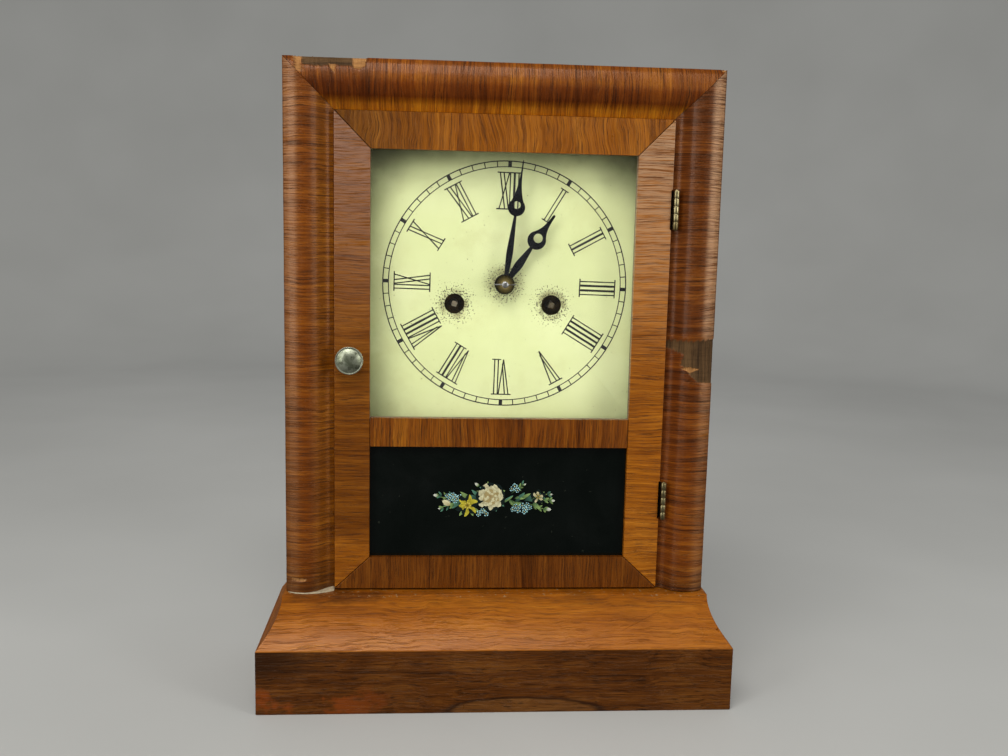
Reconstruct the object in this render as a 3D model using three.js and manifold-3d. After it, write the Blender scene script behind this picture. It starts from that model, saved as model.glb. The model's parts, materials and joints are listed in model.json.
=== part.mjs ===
// An ogee shelf clock with an eight-day spring movement, an hour strike on a coil gong
// and a pendulum behind a painted tablet. Millimetres, +Z up, the door faces -Y.
// Depths are written from the door's front face, and addPart moves the clock to its centre.
import * as THREE from "three";
import { mergeVertices } from "three/addons/utils/BufferGeometryUtils.js";
import Module from "manifold-3d";

const wasm = await Module();
wasm.setup();

// ---------------------------------------------------------------- driving sizes

const touch = 0.3;
const runningGap = 0.35;
const joinDepth = 0.5; // how far two shapes of one piece run into each other before they are joined
const pastFace = 1; // how far a cutting shape runs out past the face that it cuts
const roundSides = 24;
const boreSides = 16;
const smallSides = 10;
const arborSides = 8;

const caseHeight = 396;
const caseHalfWidth = 132;
const caseBack = 92;
const boardThickness = 9.6;
const boardInset = 0.8;
const backboardThickness = 5.7;

const plinthHeight = 40.6;
const plinthProjection = 23.4;
const plinthSideProjection = 16.3;
const plinthHalfWidth = caseHalfWidth + plinthSideProjection;
const baseTop = 71.5;
const coveDepth = 14.5;
const coveControlShare = 0.56;
const coveSteps = 9;
const baseWallAtTop = 13;
const floorThickness = 11.5;

const mouldingWidth = 29.5;
const mouldingBack = 16;
const ogeeSteps = 16;
const ogeeKnots = [
  [0, -1.2],
  [4, -4.2],
  [12.5, -6.1],
  [19.5, -3.5],
  [25, 1.6],
  [mouldingWidth, 3.8],
];

const doorThickness = 16;
const doorFootGap = 1.2;
const doorHeadGap = 0.4;
const stileWidth = 21.6;
const topRailWidth = 21.9;
const middleRailWidth = 17.9;
const bottomRailWidth = 20.2;
const tabletHeight = 71;
const doorHalfWidth = caseHalfWidth - mouldingWidth - touch;
const doorBottom = baseTop + doorFootGap;
const doorTop = caseHeight - mouldingWidth - doorHeadGap;
const openingHalfWidth = doorHalfWidth - stileWidth;
const tabletBottom = doorBottom + bottomRailWidth;
const lowerOpening = { bottom: tabletBottom, top: tabletBottom + tabletHeight };
const upperOpening = { bottom: lowerOpening.top + middleRailWidth, top: doorTop - topRailWidth };
const lipThickness = 4;
const rebateWidth = 5;
const glassThickness = 2;
const beadWidth = 4.4;
const beadBevel = 1.6;

const dialOffset = { x: 1.7, z: 1.6 };
const dialCentre = {
  x: dialOffset.x,
  z: (upperOpening.bottom + upperOpening.top) / 2 + dialOffset.z,
};
const dialFront = 17.5;
const dialThickness = 0.8;
const dialSideMargin = 5.6;
const dialEndMargin = 10.8;
const dialHalfWidth = openingHalfWidth + dialSideMargin;
const dialHalfHeight = (upperOpening.top - upperOpening.bottom) / 2 + dialEndMargin;
const ringMargin = 4.4;
const ringRadius = Math.min(openingHalfWidth, (upperOpening.top - upperOpening.bottom) / 2) - ringMargin;
const windingHoleRadius = 6.3;
const dialCentreHoleRadius = 6;
const railLap = 8.2;
const railInnerEdge = dialHalfWidth - railLap;
const railThickness = 9.4;
const railRise = 4.1;
const railBottom = lowerOpening.top + railRise;
const dialScrewInset = { side: 2.6, end: 6 };
const dialScrew = {
  x: dialHalfWidth - dialScrewInset.side,
  rise: dialHalfHeight - dialScrewInset.end,
  headRadius: 1.9,
  headThickness: 0.8,
  shankRadius: 0.9,
  length: 8,
};

const hingeHeight = 23.4;
const upperHingeDrop = 53.9;
const lowerHingeRise = 57.5;
const hingeCentres = { upper: doorTop - upperHingeDrop, lower: doorBottom + lowerHingeRise };
const hingeStandOff = 2.15;
const hingeAxis = { x: doorHalfWidth + hingeStandOff, y: -1 };
const knuckleRadius = 2.5;
const knuckleCount = 5;
const hingePinRadius = 1;
const hingePinPast = 0.6;
const leafThickness = 0.7;
const leafFront = 2;
const leafBack = 12.3;
const doorLeafStand = 0.25;

const knobInset = 9.6;
const knobRise = 36.3;
const knobCentre = { x: knobInset - doorHalfWidth, z: upperOpening.bottom + knobRise };
const knobRadius = 8.5;
const knobStand = 10.4;
const knobShankRadius = 2;
const hookGap = 0.4;
const hookThickness = 1.4;
const hookReach = 17;

const windingDrop = 12.8;
const windingSide = { time: 30, strike: 30.9 };
const timeWinding = { x: dialCentre.x + windingSide.time, z: dialCentre.z - windingDrop };
const strikeWinding = { x: dialCentre.x - windingSide.strike, z: dialCentre.z - windingDrop };
const plateThickness = 1.6;
const frontPlateFront = 30;
const backPlateFront = 68;
const plateReach = { left: 57.7, right: 56.7, down: 48.6, up: 63.4 };
const plate = {
  left: dialCentre.x - plateReach.left,
  right: dialCentre.x + plateReach.right,
  bottom: dialCentre.z - plateReach.down,
  top: dialCentre.z + plateReach.up,
  corner: 7,
};
const lowPillarInset = { x: 5.7, z: 7.5 };
const highPillarInset = { x: 15.7, z: 8.5 };
const pillars = [
  { x: plate.right - lowPillarInset.x, z: plate.bottom + lowPillarInset.z },
  { x: plate.left + lowPillarInset.x, z: plate.bottom + lowPillarInset.z },
  { x: plate.right - highPillarInset.x, z: plate.top - highPillarInset.z },
  { x: plate.left + highPillarInset.x, z: plate.top - highPillarInset.z },
];
const pillarRadius = 3;
const pillarTenonRadius = 1.5;
const tenonPast = 1.6;
const tenonRoot = 8.4;
const arborRadius = 0.9;
const arborPast = 0.8;
const collarPast = 0.8;
const wheelThickness = 1.2;
const pinionLeaves = 7;
const pinionTrundleLength = 3.6;
const pinionCapThickness = 0.7;
const trundleShare = 0.14;

const greatTeeth = 84;
const slowTeeth = 78;
const warningTeeth = 60;
const escapeTeeth = 32;
const cannonTeeth = 10;
const minuteTeeth = 30;
const minutePinionTeeth = 8;
const hourTeeth = 32;
const motionModule = 0.6;
const centreModule = 0.5;
const fastModule = 0.42;

const planes = {
  timeGreat: 35.2,
  strikeGreat: 38.8,
  timeRatchet: 33,
  strikeRatchet: 36.6,
  springs: 42,
  hammerTail: 65.9,
  centre: 62.2,
  third: 48,
  escape: 38.4,
  pin: 64,
  warning: 54,
  hour: 20.2,
  minute: 23.4,
};

// ---------------------------------------------------------------- solids

const colours = {
  veneer: 0x7a4526,
  pine: 0xb48a5a,
  brass: 0xb9974c,
  steel: 0x8c8f92,
  blackened: 0x1d1c1c,
  enamel: 0xd8d0ad,
  glass: 0xbfcaca,
  tablet: 0x14110f,
  pewter: 0x8d8f84,
  iron: 0x3b3836,
  putty: 0x8b8474,
};

const clock = new THREE.Group();
clock.name = "ogee_shelf_clock";

const depthCentre = (caseBack - plinthProjection) / 2;

function addPart(name, geometry, colour) {
  const placed = geometry.clone();
  placed.translate(0, -depthCentre, 0);
  placed.computeVertexNormals();
  const mesh = new THREE.Mesh(placed, new THREE.MeshStandardMaterial({ color: colour }));
  mesh.name = name;
  clock.add(mesh);
}

function toBody(geometry) {
  const plain = geometry.clone();
  plain.deleteAttribute("normal");
  plain.deleteAttribute("uv");
  const welded = mergeVertices(plain, 1e-4);
  const body = new wasm.Mesh({
    numProp: 3,
    vertProperties: new Float32Array(welded.attributes.position.array),
    triVerts: new Uint32Array(welded.index.array),
  });
  return new wasm.Manifold(body);
}

function fromBody(body) {
  const mesh = body.getMesh();
  const geometry = new THREE.BufferGeometry();
  geometry.setAttribute("position", new THREE.BufferAttribute(mesh.vertProperties, 3));
  geometry.setIndex(new THREE.BufferAttribute(mesh.triVerts, 1));
  return geometry;
}

function join(...geometries) {
  return fromBody(geometries.map(toBody).reduce((whole, next) => whole.add(next)));
}

function cut(geometry, ...tools) {
  return fromBody(tools.map(toBody).reduce((whole, next) => whole.subtract(next), toBody(geometry)));
}

function box(left, right, front, back, bottom, top) {
  const geometry = new THREE.BoxGeometry(right - left, back - front, top - bottom);
  geometry.translate((left + right) / 2, (front + back) / 2, (bottom + top) / 2);
  return geometry;
}

// A round bar that lies along the depth of the clock.
function rod(centre, radius, front, back, sides = smallSides) {
  const geometry = new THREE.CylinderGeometry(radius, radius, back - front, sides);
  geometry.translate(centre.x, (front + back) / 2, centre.z);
  return geometry;
}

// A turned body about an axis that lies along the depth; each pair is radius, depth.
function turned(centre, pairs, sides = roundSides) {
  const geometry = new THREE.LatheGeometry(pairs.map(([r, y]) => new THREE.Vector2(r, y)), sides);
  geometry.translate(centre.x, 0, centre.z);
  return outward(geometry);
}

function signedVolume(geometry) {
  const position = geometry.attributes.position;
  const index = geometry.index;
  const [a, b, c] = [new THREE.Vector3(), new THREE.Vector3(), new THREE.Vector3()];
  let volume = 0;
  for (let i = 0; i < index.count; i += 3) {
    a.fromBufferAttribute(position, index.getX(i));
    b.fromBufferAttribute(position, index.getX(i + 1));
    c.fromBufferAttribute(position, index.getX(i + 2));
    volume += a.dot(b.cross(c)) / 6;
  }
  return volume;
}

// Turns every face over where the body would enclose a negative volume.
function outward(geometry) {
  if (signedVolume(geometry) < 0) {
    const index = geometry.index;
    for (let i = 0; i < index.count; i += 3) {
      const kept = index.getX(i);
      index.setX(i, index.getX(i + 1));
      index.setX(i + 1, kept);
    }
  }
  return geometry;
}

function fromCorners(corners) {
  const geometry = new THREE.BufferGeometry();
  const numbers = corners.flatMap((corner) => [corner.x, corner.y, corner.z]);
  geometry.setAttribute("position", new THREE.Float32BufferAttribute(numbers, 3));
  return outward(mergeVertices(geometry, 1e-4));
}

function areaOf(points) {
  return THREE.ShapeUtils.area(points);
}

// A straight member with any section, whose two ends may be cut at any angle.
function member(section, placeStart, placeEnd) {
  const points = section.map(([a, b]) => new THREE.Vector2(a, b));
  if (areaOf(points) < 0) {
    points.reverse();
  }
  const starts = points.map((p) => placeStart(p.x, p.y));
  const ends = points.map((p) => placeEnd(p.x, p.y));
  const corners = [];
  points.forEach((_, i) => {
    const j = (i + 1) % points.length;
    corners.push(starts[i], starts[j], ends[j], starts[i], ends[j], ends[i]);
  });
  THREE.ShapeUtils.triangulateShape(points, []).forEach(([a, b, c]) => {
    const turnsLeft = areaOf([points[a], points[b], points[c]]) > 0;
    const [p, q, r] = turnsLeft ? [a, b, c] : [c, b, a];
    corners.push(starts[r], starts[q], starts[p], ends[p], ends[q], ends[r]);
  });
  return fromCorners(corners);
}

// A four-sided frame with mitred corners; each pair is the inset from the outer edge, depth.
function frameRing(section, halfWidth, bottom, top) {
  const stations = [[-1, 0], [1, 0], [1, 1], [-1, 1]].map(([side, level]) =>
    section.map(([inset, y]) => {
      const z = level === 0 ? bottom + inset : top - inset;
      return new THREE.Vector3(side * (halfWidth - inset), y, z);
    })
  );
  const corners = [];
  stations.forEach((here, s) => {
    const next = stations[(s + 1) % stations.length];
    section.forEach((_, i) => {
      const j = (i + 1) % section.length;
      corners.push(here[i], here[j], next[j], here[i], next[j], next[i]);
    });
  });
  return fromCorners(corners);
}

// A flat piece: an outline in width and height, given a front face and a thickness.
function flat(shape, front, thickness, curveSegments = 8) {
  const geometry = new THREE.ExtrudeGeometry(shape, {
    depth: thickness,
    bevelEnabled: false,
    curveSegments,
  });
  geometry.rotateX(Math.PI / 2);
  geometry.translate(0, front + thickness, 0);
  return mergeVertices(bare(geometry), 1e-4);
}

function bare(geometry) {
  geometry.deleteAttribute("normal");
  geometry.deleteAttribute("uv");
  return geometry;
}

function polar(centre, radius, angle) {
  return new THREE.Vector2(centre.x + radius * Math.cos(angle), centre.z + radius * Math.sin(angle));
}

function circlePoints(centre, radius, sides) {
  return Array.from({ length: sides }, (_, i) => polar(centre, radius, (i / sides) * 2 * Math.PI));
}

function holeIn(shape, centre, radius, sides = smallSides) {
  shape.holes.push(new THREE.Path(circlePoints(centre, radius, sides)));
}

// A place at a distance from another, with the angle taken from +X towards +Z.
function beside(from, distance, degrees) {
  const angle = THREE.MathUtils.degToRad(degrees);
  return { x: from.x + distance * Math.cos(angle), z: from.z + distance * Math.sin(angle) };
}

function angleTo(from, to) {
  return Math.atan2(to.z - from.z, to.x - from.x);
}

function distanceTo(from, to) {
  return Math.hypot(to.x - from.x, to.z - from.z);
}

// ---------------------------------------------------------------- base

function baseSection() {
  const section = [[0, 0], [0, plinthHeight]];
  const control = plinthHeight + coveControlShare * (baseTop - plinthHeight);
  const cove = new THREE.QuadraticBezierCurve(
    new THREE.Vector2(0, plinthHeight),
    new THREE.Vector2(coveDepth, control),
    new THREE.Vector2(coveDepth, baseTop)
  );
  cove.getPoints(coveSteps).slice(1).forEach((p) => section.push([p.x, p.y]));
  section.push([coveDepth + baseWallAtTop, baseTop], [coveDepth + baseWallAtTop, 0]);
  return section;
}

const baseInner = plinthHalfWidth - coveDepth - baseWallAtTop;
const baseFrontInner = coveDepth + baseWallAtTop - plinthProjection;
const mitreRelief = 0.2;

addPart("base_front", member(
  baseSection(),
  (w, z) => new THREE.Vector3(-plinthHalfWidth + w + mitreRelief, w - plinthProjection, z),
  (w, z) => new THREE.Vector3(plinthHalfWidth - w - mitreRelief, w - plinthProjection, z)
), colours.veneer);

for (const [name, side] of [["base_left", -1], ["base_right", 1]]) {
  addPart(name, member(
    baseSection(),
    (w, z) => new THREE.Vector3(side * (plinthHalfWidth - w), w - plinthProjection + mitreRelief, z),
    (w, z) => new THREE.Vector3(side * (plinthHalfWidth - w), caseBack, z)
  ), colours.veneer);
}

addPart("case_floor_board", box(
  -baseInner + touch, baseInner - touch,
  baseFrontInner + touch, caseBack,
  baseTop - floorThickness, baseTop
), colours.pine);

// ---------------------------------------------------------------- case

const boardFront = mouldingBack + touch;
const backboardFront = caseBack - backboardThickness;
const boardBack = backboardFront - touch;
const sideOuter = caseHalfWidth - boardInset;
const sideInner = sideOuter - boardThickness;
const boardBottom = baseTop + touch;
const boardTop = caseHeight - boardInset;

for (const [name, side] of [["case_left_side", -1], ["case_right_side", 1]]) {
  const edges = [side * sideInner, side * sideOuter].sort((a, b) => a - b);
  addPart(name, box(edges[0], edges[1], boardFront, boardBack, boardBottom, boardTop), colours.pine);
}
addPart("case_top_board", box(
  -sideInner + touch, sideInner - touch,
  boardFront, boardBack,
  boardTop - boardThickness, boardTop
), colours.pine);
addPart("backboard", box(
  -sideOuter, sideOuter,
  backboardFront, caseBack,
  boardBottom, boardTop
), colours.pine);

function ogeeSection() {
  const line = new THREE.SplineCurve(ogeeKnots.map(([w, y]) => new THREE.Vector2(w, y)));
  const section = line.getPoints(ogeeSteps).map((p) => [p.x, p.y]);
  section.push([mouldingWidth, mouldingBack], [0, mouldingBack]);
  return section;
}

function hingeRange(centre) {
  return [centre - hingeHeight / 2, centre + hingeHeight / 2];
}

const mouldingInner = caseHalfWidth - mouldingWidth;
const caseLeafLeft = mouldingInner + touch;
const leafPockets = Object.values(hingeCentres).map((centre) => {
  const [low, high] = hingeRange(centre);
  const pocketRight = caseLeafLeft + leafThickness + touch;
  return box(mouldingInner - pastFace, pocketRight, hingeAxis.y, leafBack + touch, low - touch, high + touch);
});

const mouldingSides = [-1, 1].map((side) => member(
  ogeeSection(),
  (w, y) => new THREE.Vector3(side * (caseHalfWidth - w), y, baseTop + touch),
  (w, y) => new THREE.Vector3(side * (caseHalfWidth - w), y, caseHeight - w - mitreRelief)
));
addPart("moulding_left", mouldingSides[0], colours.veneer);
addPart("moulding_right", cut(mouldingSides[1], ...leafPockets), colours.veneer);
addPart("moulding_top", member(
  ogeeSection(),
  (w, y) => new THREE.Vector3(-caseHalfWidth + w + mitreRelief, y, caseHeight - w),
  (w, y) => new THREE.Vector3(caseHalfWidth - w - mitreRelief, y, caseHeight - w)
), colours.veneer);

// ---------------------------------------------------------------- door

function rebatedSection(width) {
  return [
    [0, 0],
    [width, 0],
    [width, lipThickness],
    [width - rebateWidth, lipThickness],
    [width - rebateWidth, doorThickness],
    [0, doorThickness],
  ];
}

const stiles = [-1, 1].map((side) => member(
  rebatedSection(stileWidth),
  (w, y) => new THREE.Vector3(
    side * (doorHalfWidth - w), y,
    doorBottom + (w * bottomRailWidth) / stileWidth + mitreRelief
  ),
  (w, y) => new THREE.Vector3(
    side * (doorHalfWidth - w), y,
    doorTop - (w * topRailWidth) / stileWidth - mitreRelief
  )
));

function doorRail(width, edge, direction) {
  const endAt = (v) => doorHalfWidth - (v * stileWidth) / width - mitreRelief;
  return member(
    rebatedSection(width),
    (v, y) => new THREE.Vector3(-endAt(v), y, edge + direction * v),
    (v, y) => new THREE.Vector3(endAt(v), y, edge + direction * v)
  );
}

const knobShankHole = rod(knobCentre, knobShankRadius + runningGap, -pastFace, doorThickness + pastFace);
addPart("door_stile_left", cut(stiles[0], knobShankHole), colours.veneer);

const doorLeafRight = doorHalfWidth + doorLeafStand;
const doorLeafLeft = doorLeafRight - leafThickness;
const stilePockets = Object.values(hingeCentres).map((centre) => {
  const [low, high] = hingeRange(centre);
  const pocketLeft = doorLeafLeft - touch;
  return box(pocketLeft, doorHalfWidth + pastFace, hingeAxis.y, leafBack + touch, low - touch, high + touch);
});
addPart("door_stile_right", cut(stiles[1], ...stilePockets), colours.veneer);
addPart("door_rail_top", doorRail(topRailWidth, doorTop, -1), colours.veneer);
addPart("door_rail_bottom", doorRail(bottomRailWidth, doorBottom, 1), colours.veneer);

const railHalfLength = openingHalfWidth - touch;
const tenonHalfLength = openingHalfWidth + rebateWidth - touch;
addPart("door_rail_middle", join(
  box(-railHalfLength, railHalfLength, 0, lipThickness, lowerOpening.top, upperOpening.bottom),
  box(
    -railHalfLength, railHalfLength,
    lipThickness - joinDepth, doorThickness,
    lowerOpening.top + rebateWidth, upperOpening.bottom - rebateWidth
  ),
  box(
    -tenonHalfLength, tenonHalfLength,
    lipThickness + touch, doorThickness,
    lowerOpening.top + rebateWidth, upperOpening.bottom - rebateWidth
  )
), colours.veneer);

const glassFront = lipThickness + touch;
const beadFront = glassFront + glassThickness + touch;
const paneHalfWidth = openingHalfWidth + rebateWidth - touch;
const beadSection = [
  [0, beadFront],
  [beadWidth, beadFront],
  [beadWidth, beadFront + beadBevel],
  [beadWidth - beadBevel, doorThickness],
  [0, doorThickness],
];
const panes = [
  ["upper_glass", "upper_glazing_bead", upperOpening, colours.glass],
  ["lower_tablet", "lower_glazing_bead", lowerOpening, colours.tablet],
];
for (const [paneName, beadName, opening, colour] of panes) {
  const bottom = opening.bottom - rebateWidth + touch;
  const top = opening.top + rebateWidth - touch;
  addPart(paneName, box(
    -paneHalfWidth, paneHalfWidth,
    glassFront, glassFront + glassThickness,
    bottom, top
  ), colour);
  addPart(beadName, frameRing(beadSection, paneHalfWidth, bottom, top), colours.putty);
}

// ---------------------------------------------------------------- hinges

function uprightRod(x, y, radius, bottom, top, sides = smallSides) {
  const geometry = new THREE.CylinderGeometry(radius, radius, top - bottom, sides);
  geometry.rotateX(Math.PI / 2);
  geometry.translate(x, y, (bottom + top) / 2);
  return geometry;
}

// The knuckles are shared out in turn, and the case leaf keeps both outer ones and the pin.
function hingeLeaf(centre, leafLeft, firstKnuckle) {
  const [low, high] = hingeRange(centre);
  const pitch = (hingeHeight + touch) / knuckleCount;
  const pieces = [box(leafLeft, leafLeft + leafThickness, leafFront, leafBack, low, high)];
  for (let i = firstKnuckle; i < knuckleCount; i += 2) {
    const bottom = low + i * pitch;
    const top = bottom + pitch - touch;
    pieces.push(uprightRod(hingeAxis.x, hingeAxis.y, knuckleRadius, bottom, top));
    pieces.push(box(leafLeft, leafLeft + leafThickness, hingeAxis.y, leafFront + touch, bottom, top));
  }
  return join(...pieces);
}

for (const [place, centre] of Object.entries(hingeCentres)) {
  const [low, high] = hingeRange(centre);
  const pin = uprightRod(hingeAxis.x, hingeAxis.y, hingePinRadius, low - hingePinPast, high + hingePinPast);
  const bore = uprightRod(
    hingeAxis.x, hingeAxis.y, hingePinRadius + runningGap, low - pastFace, high + pastFace
  );
  addPart(`${place}_hinge_case_leaf`, join(hingeLeaf(centre, caseLeafLeft, 0), pin), colours.brass);
  addPart(`${place}_hinge_door_leaf`, cut(hingeLeaf(centre, doorLeafLeft, 1), bore), colours.brass);
}

// ---------------------------------------------------------------- knob and hook

const hookFront = doorThickness + hookGap;
const knobShankBack = hookFront + hookThickness + touch;
addPart("door_knob", turned(knobCentre, [
  [0, -knobStand],
  [knobRadius * 0.34, -knobStand + 0.15],
  [knobRadius * 0.62, -knobStand + 0.7],
  [knobRadius * 0.82, -knobStand + 1.5],
  [knobRadius * 0.9, -knobStand + 1.9],
  [knobRadius * 0.97, -knobStand + 1.7],
  [knobRadius, -knobStand + 2.3],
  [knobRadius * 0.93, -knobStand + 3.6],
  [knobRadius * 0.55, -knobStand + 5.6],
  [knobRadius * 0.42, -3],
  [knobRadius * 0.5, -1.2],
  [knobRadius * 0.5, -touch],
  [knobShankRadius, -touch],
  [knobShankRadius, knobShankBack],
  [0, knobShankBack],
], 20), colours.pewter);

const hookShape = new THREE.Shape([
  ...circlePoints(knobCentre, 4, 16).filter((p) => p.y > knobCentre.z - 1),
  new THREE.Vector2(knobCentre.x - 3.6, knobCentre.z - 3),
  new THREE.Vector2(knobCentre.x - 3.2, knobCentre.z - hookReach + 3),
  new THREE.Vector2(knobCentre.x - 1.4, knobCentre.z - hookReach),
  new THREE.Vector2(knobCentre.x + 1.8, knobCentre.z - hookReach),
  new THREE.Vector2(knobCentre.x + 2.6, knobCentre.z - hookReach + 3),
  new THREE.Vector2(knobCentre.x + 3.6, knobCentre.z - 3),
].sort((p, q) => {
  const middle = { x: knobCentre.x, z: knobCentre.z - 3.5 };
  return Math.atan2(p.y - middle.z, p.x - middle.x) - Math.atan2(q.y - middle.z, q.x - middle.x);
}));
holeIn(hookShape, knobCentre, knobShankRadius + touch);
addPart("latch_hook", flat(hookShape, hookFront, hookThickness), colours.brass);

// ---------------------------------------------------------------- dial

const railFront = dialFront + dialThickness + touch;
for (const [name, side] of [["dial_rail_left", -1], ["dial_rail_right", 1]]) {
  const edges = [side * railInnerEdge, side * (sideInner - touch)].sort((a, b) => a - b);
  const railTop = boardTop - boardThickness - touch;
  const rail = box(edges[0], edges[1], railFront, railFront + railThickness, railBottom, railTop);
  const screwHoles = [-1, 1].map((level) => {
    const place = { x: side * dialScrew.x, z: dialCentre.z + level * dialScrew.rise };
    return rod(place, dialScrew.shankRadius + touch, railFront - pastFace, railFront + dialScrew.length);
  });
  addPart(name, cut(rail, ...screwHoles), colours.pine);
}

const dialShape = new THREE.Shape([
  new THREE.Vector2(-dialHalfWidth, dialCentre.z - dialHalfHeight),
  new THREE.Vector2(dialHalfWidth, dialCentre.z - dialHalfHeight),
  new THREE.Vector2(dialHalfWidth, dialCentre.z + dialHalfHeight),
  new THREE.Vector2(-dialHalfWidth, dialCentre.z + dialHalfHeight),
]);
holeIn(dialShape, dialCentre, dialCentreHoleRadius, roundSides);
holeIn(dialShape, timeWinding, windingHoleRadius, roundSides);
holeIn(dialShape, strikeWinding, windingHoleRadius, roundSides);
let dialScrewCount = 0;
for (const side of [-1, 1]) {
  for (const level of [-1, 1]) {
    const place = { x: side * dialScrew.x, z: dialCentre.z + level * dialScrew.rise };
    holeIn(dialShape, place, dialScrew.shankRadius + touch);
    dialScrewCount += 1;
    const headBack = dialFront - 0.1;
    addPart(`dial_screw_${dialScrewCount}`, turned(place, [
      [0, headBack - dialScrew.headThickness],
      [dialScrew.headRadius * 0.7, headBack - dialScrew.headThickness + 0.1],
      [dialScrew.headRadius, headBack],
      [dialScrew.shankRadius, headBack],
      [dialScrew.shankRadius, headBack + dialScrew.length - 1],
      [0, headBack + dialScrew.length],
    ], 8), colours.steel);
  }
}
addPart("dial_plate", flat(dialShape, dialFront, dialThickness), colours.enamel);

// ---------------------------------------------------------------- hands

const arborTip = 6.5;
const handPinDepth = 7.9;
const washer = { front: 9.1, thickness: 0.6, radius: 6, dish: 0.4 };
const minuteHandFront = 10;
const hourHandFront = 12;
const handThickness = 0.6;
const minuteArborRadius = 2;
const hourPipeRadius = 3.2;
const hourPipeBore = 2.4;

// A hand's reach and the place of its moon are shares of the minute ring that it points to.
const minuteHand = {
  turn: 7.4, length: 1.003 * ringRadius, hub: 5.4, bore: minuteArborRadius + touch,
  shaftHub: 1.7, shaftNeck: 0.6, moonAt: 0.625 * ringRadius, moon: 4.9,
  moonHole: 2.7, holeRise: 1.4, tipBase: 1.5,
};
const hourHand = {
  turn: 35, length: 0.689 * ringRadius, hub: 6.2, bore: hourPipeRadius + touch,
  shaftHub: 2.2, shaftNeck: 0.9, moonAt: 0.396 * ringRadius, moon: 5.5,
  moonHole: 3.2, holeRise: 1.5, tipBase: 1.7,
};

// A moon hand: a hub, a tapered shaft, a pierced disc and a long point, drawn towards +Z.
function moonHand(size, front) {
  const outline = [];
  const hubEdge = Math.asin(size.shaftHub / size.hub);
  const neckEdge = Math.asin(size.shaftNeck / size.moon);
  const tipEdge = Math.asin(size.tipBase / size.moon);
  const arc = (rise, radius, from, to, steps) => {
    for (let i = 0; i <= steps; i += 1) {
      const angle = from + ((to - from) * i) / steps;
      outline.push(new THREE.Vector2(radius * Math.sin(angle), rise + radius * Math.cos(angle)));
    }
  };
  arc(0, size.hub, hubEdge, 2 * Math.PI - hubEdge, 20);
  arc(size.moonAt, size.moon, -Math.PI + neckEdge, -tipEdge, 9);
  outline.push(new THREE.Vector2(0, size.length));
  arc(size.moonAt, size.moon, tipEdge, Math.PI - neckEdge, 9);
  const shape = new THREE.Shape(outline);
  const origin = { x: 0, z: 0 };
  holeIn(shape, origin, size.bore, boreSides);
  holeIn(shape, { x: 0, z: size.moonAt + size.holeRise }, size.moonHole, boreSides);
  const hand = flat(shape, front, handThickness);
  hand.rotateY(THREE.MathUtils.degToRad(size.turn));
  hand.translate(dialCentre.x, 0, dialCentre.z);
  return hand;
}

addPart("minute_hand", moonHand(minuteHand, minuteHandFront), colours.blackened);
addPart("hour_hand", moonHand(hourHand, hourHandFront), colours.blackened);

const washerBore = minuteArborRadius + touch;
addPart("hand_washer", turned(dialCentre, [
  [washerBore, washer.front - washer.dish],
  [washer.radius * 0.7, washer.front - washer.dish * 0.6],
  [washer.radius, washer.front],
  [washer.radius, washer.front + washer.thickness],
  [washer.radius * 0.7, washer.front + washer.thickness - washer.dish * 0.5],
  [washerBore, washer.front + washer.thickness - washer.dish],
  [washerBore, washer.front - washer.dish],
], 18), colours.brass);

const handPinLength = 14;
const handPinRadius = 0.5;
const handPin = new THREE.CylinderGeometry(handPinRadius * 0.7, handPinRadius, handPinLength, smallSides);
handPin.rotateZ(Math.PI / 2);
handPin.translate(dialCentre.x, handPinDepth, dialCentre.z);
addPart("hand_pin", handPin, colours.steel);

// ---------------------------------------------------------------- wheels

function pitchRadius(teeth, module) {
  return (teeth * module) / 2;
}

// A tooth's height over and its depth under the pitch circle, as shares of the module.
const wheelAddendum = 0.6;
const wheelDedendum = 1.2;

// A pointed tooth every step round, one of them centred on the given angle.
function toothedOutline(centre, teeth, module, toothAngle) {
  const middle = pitchRadius(teeth, module);
  const root = middle - wheelDedendum * module;
  const tip = middle + wheelAddendum * module;
  const points = [];
  for (let i = 0; i < teeth; i += 1) {
    const angle = toothAngle + (i / teeth) * 2 * Math.PI;
    points.push(polar(centre, tip, angle), polar(centre, root, angle + Math.PI / teeth));
  }
  return new THREE.Shape(points);
}

// Windows between the spokes of a wheel.
function crossOut(shape, centre, innerRadius, outerRadius, spokes) {
  const spokeHalf = 1.2;
  const windowSteps = 4;
  for (let i = 0; i < spokes; i += 1) {
    const from = (i / spokes) * 2 * Math.PI;
    const to = ((i + 1) / spokes) * 2 * Math.PI;
    const window = [];
    for (let s = 0; s <= windowSteps; s += 1) {
      const edge = Math.asin(spokeHalf / outerRadius);
      window.push(polar(centre, outerRadius, from + edge + ((to - from - 2 * edge) * s) / windowSteps));
    }
    for (let s = 0; s <= 2; s += 1) {
      const edge = Math.asin(spokeHalf / innerRadius);
      window.push(polar(centre, innerRadius, to - edge - ((to - from - 2 * edge) * s) / 2));
    }
    shape.holes.push(new THREE.Path(window));
  }
}

// A lantern pinion: two caps with round trundles between, one of them at the given angle.
function lanternPinion(centre, module, wheelFront, trundleAngle) {
  const radius = pitchRadius(pinionLeaves, module);
  const trundle = trundleShare * Math.PI * module;
  const capRadius = radius + trundle + 0.3;
  const front = wheelFront + wheelThickness / 2 - pinionTrundleLength / 2;
  const back = front + pinionTrundleLength;
  const pieces = [
    rod(centre, capRadius, front - pinionCapThickness, front, smallSides),
    rod(centre, capRadius, back, back + pinionCapThickness, smallSides),
  ];
  for (let i = 0; i < pinionLeaves; i += 1) {
    const place = polar(centre, radius, trundleAngle + (i / pinionLeaves) * 2 * Math.PI);
    const inset = pinionCapThickness / 2;
    pieces.push(rod({ x: place.x, z: place.y }, trundle, front - inset, back + inset, 5));
  }
  return pieces;
}

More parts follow.
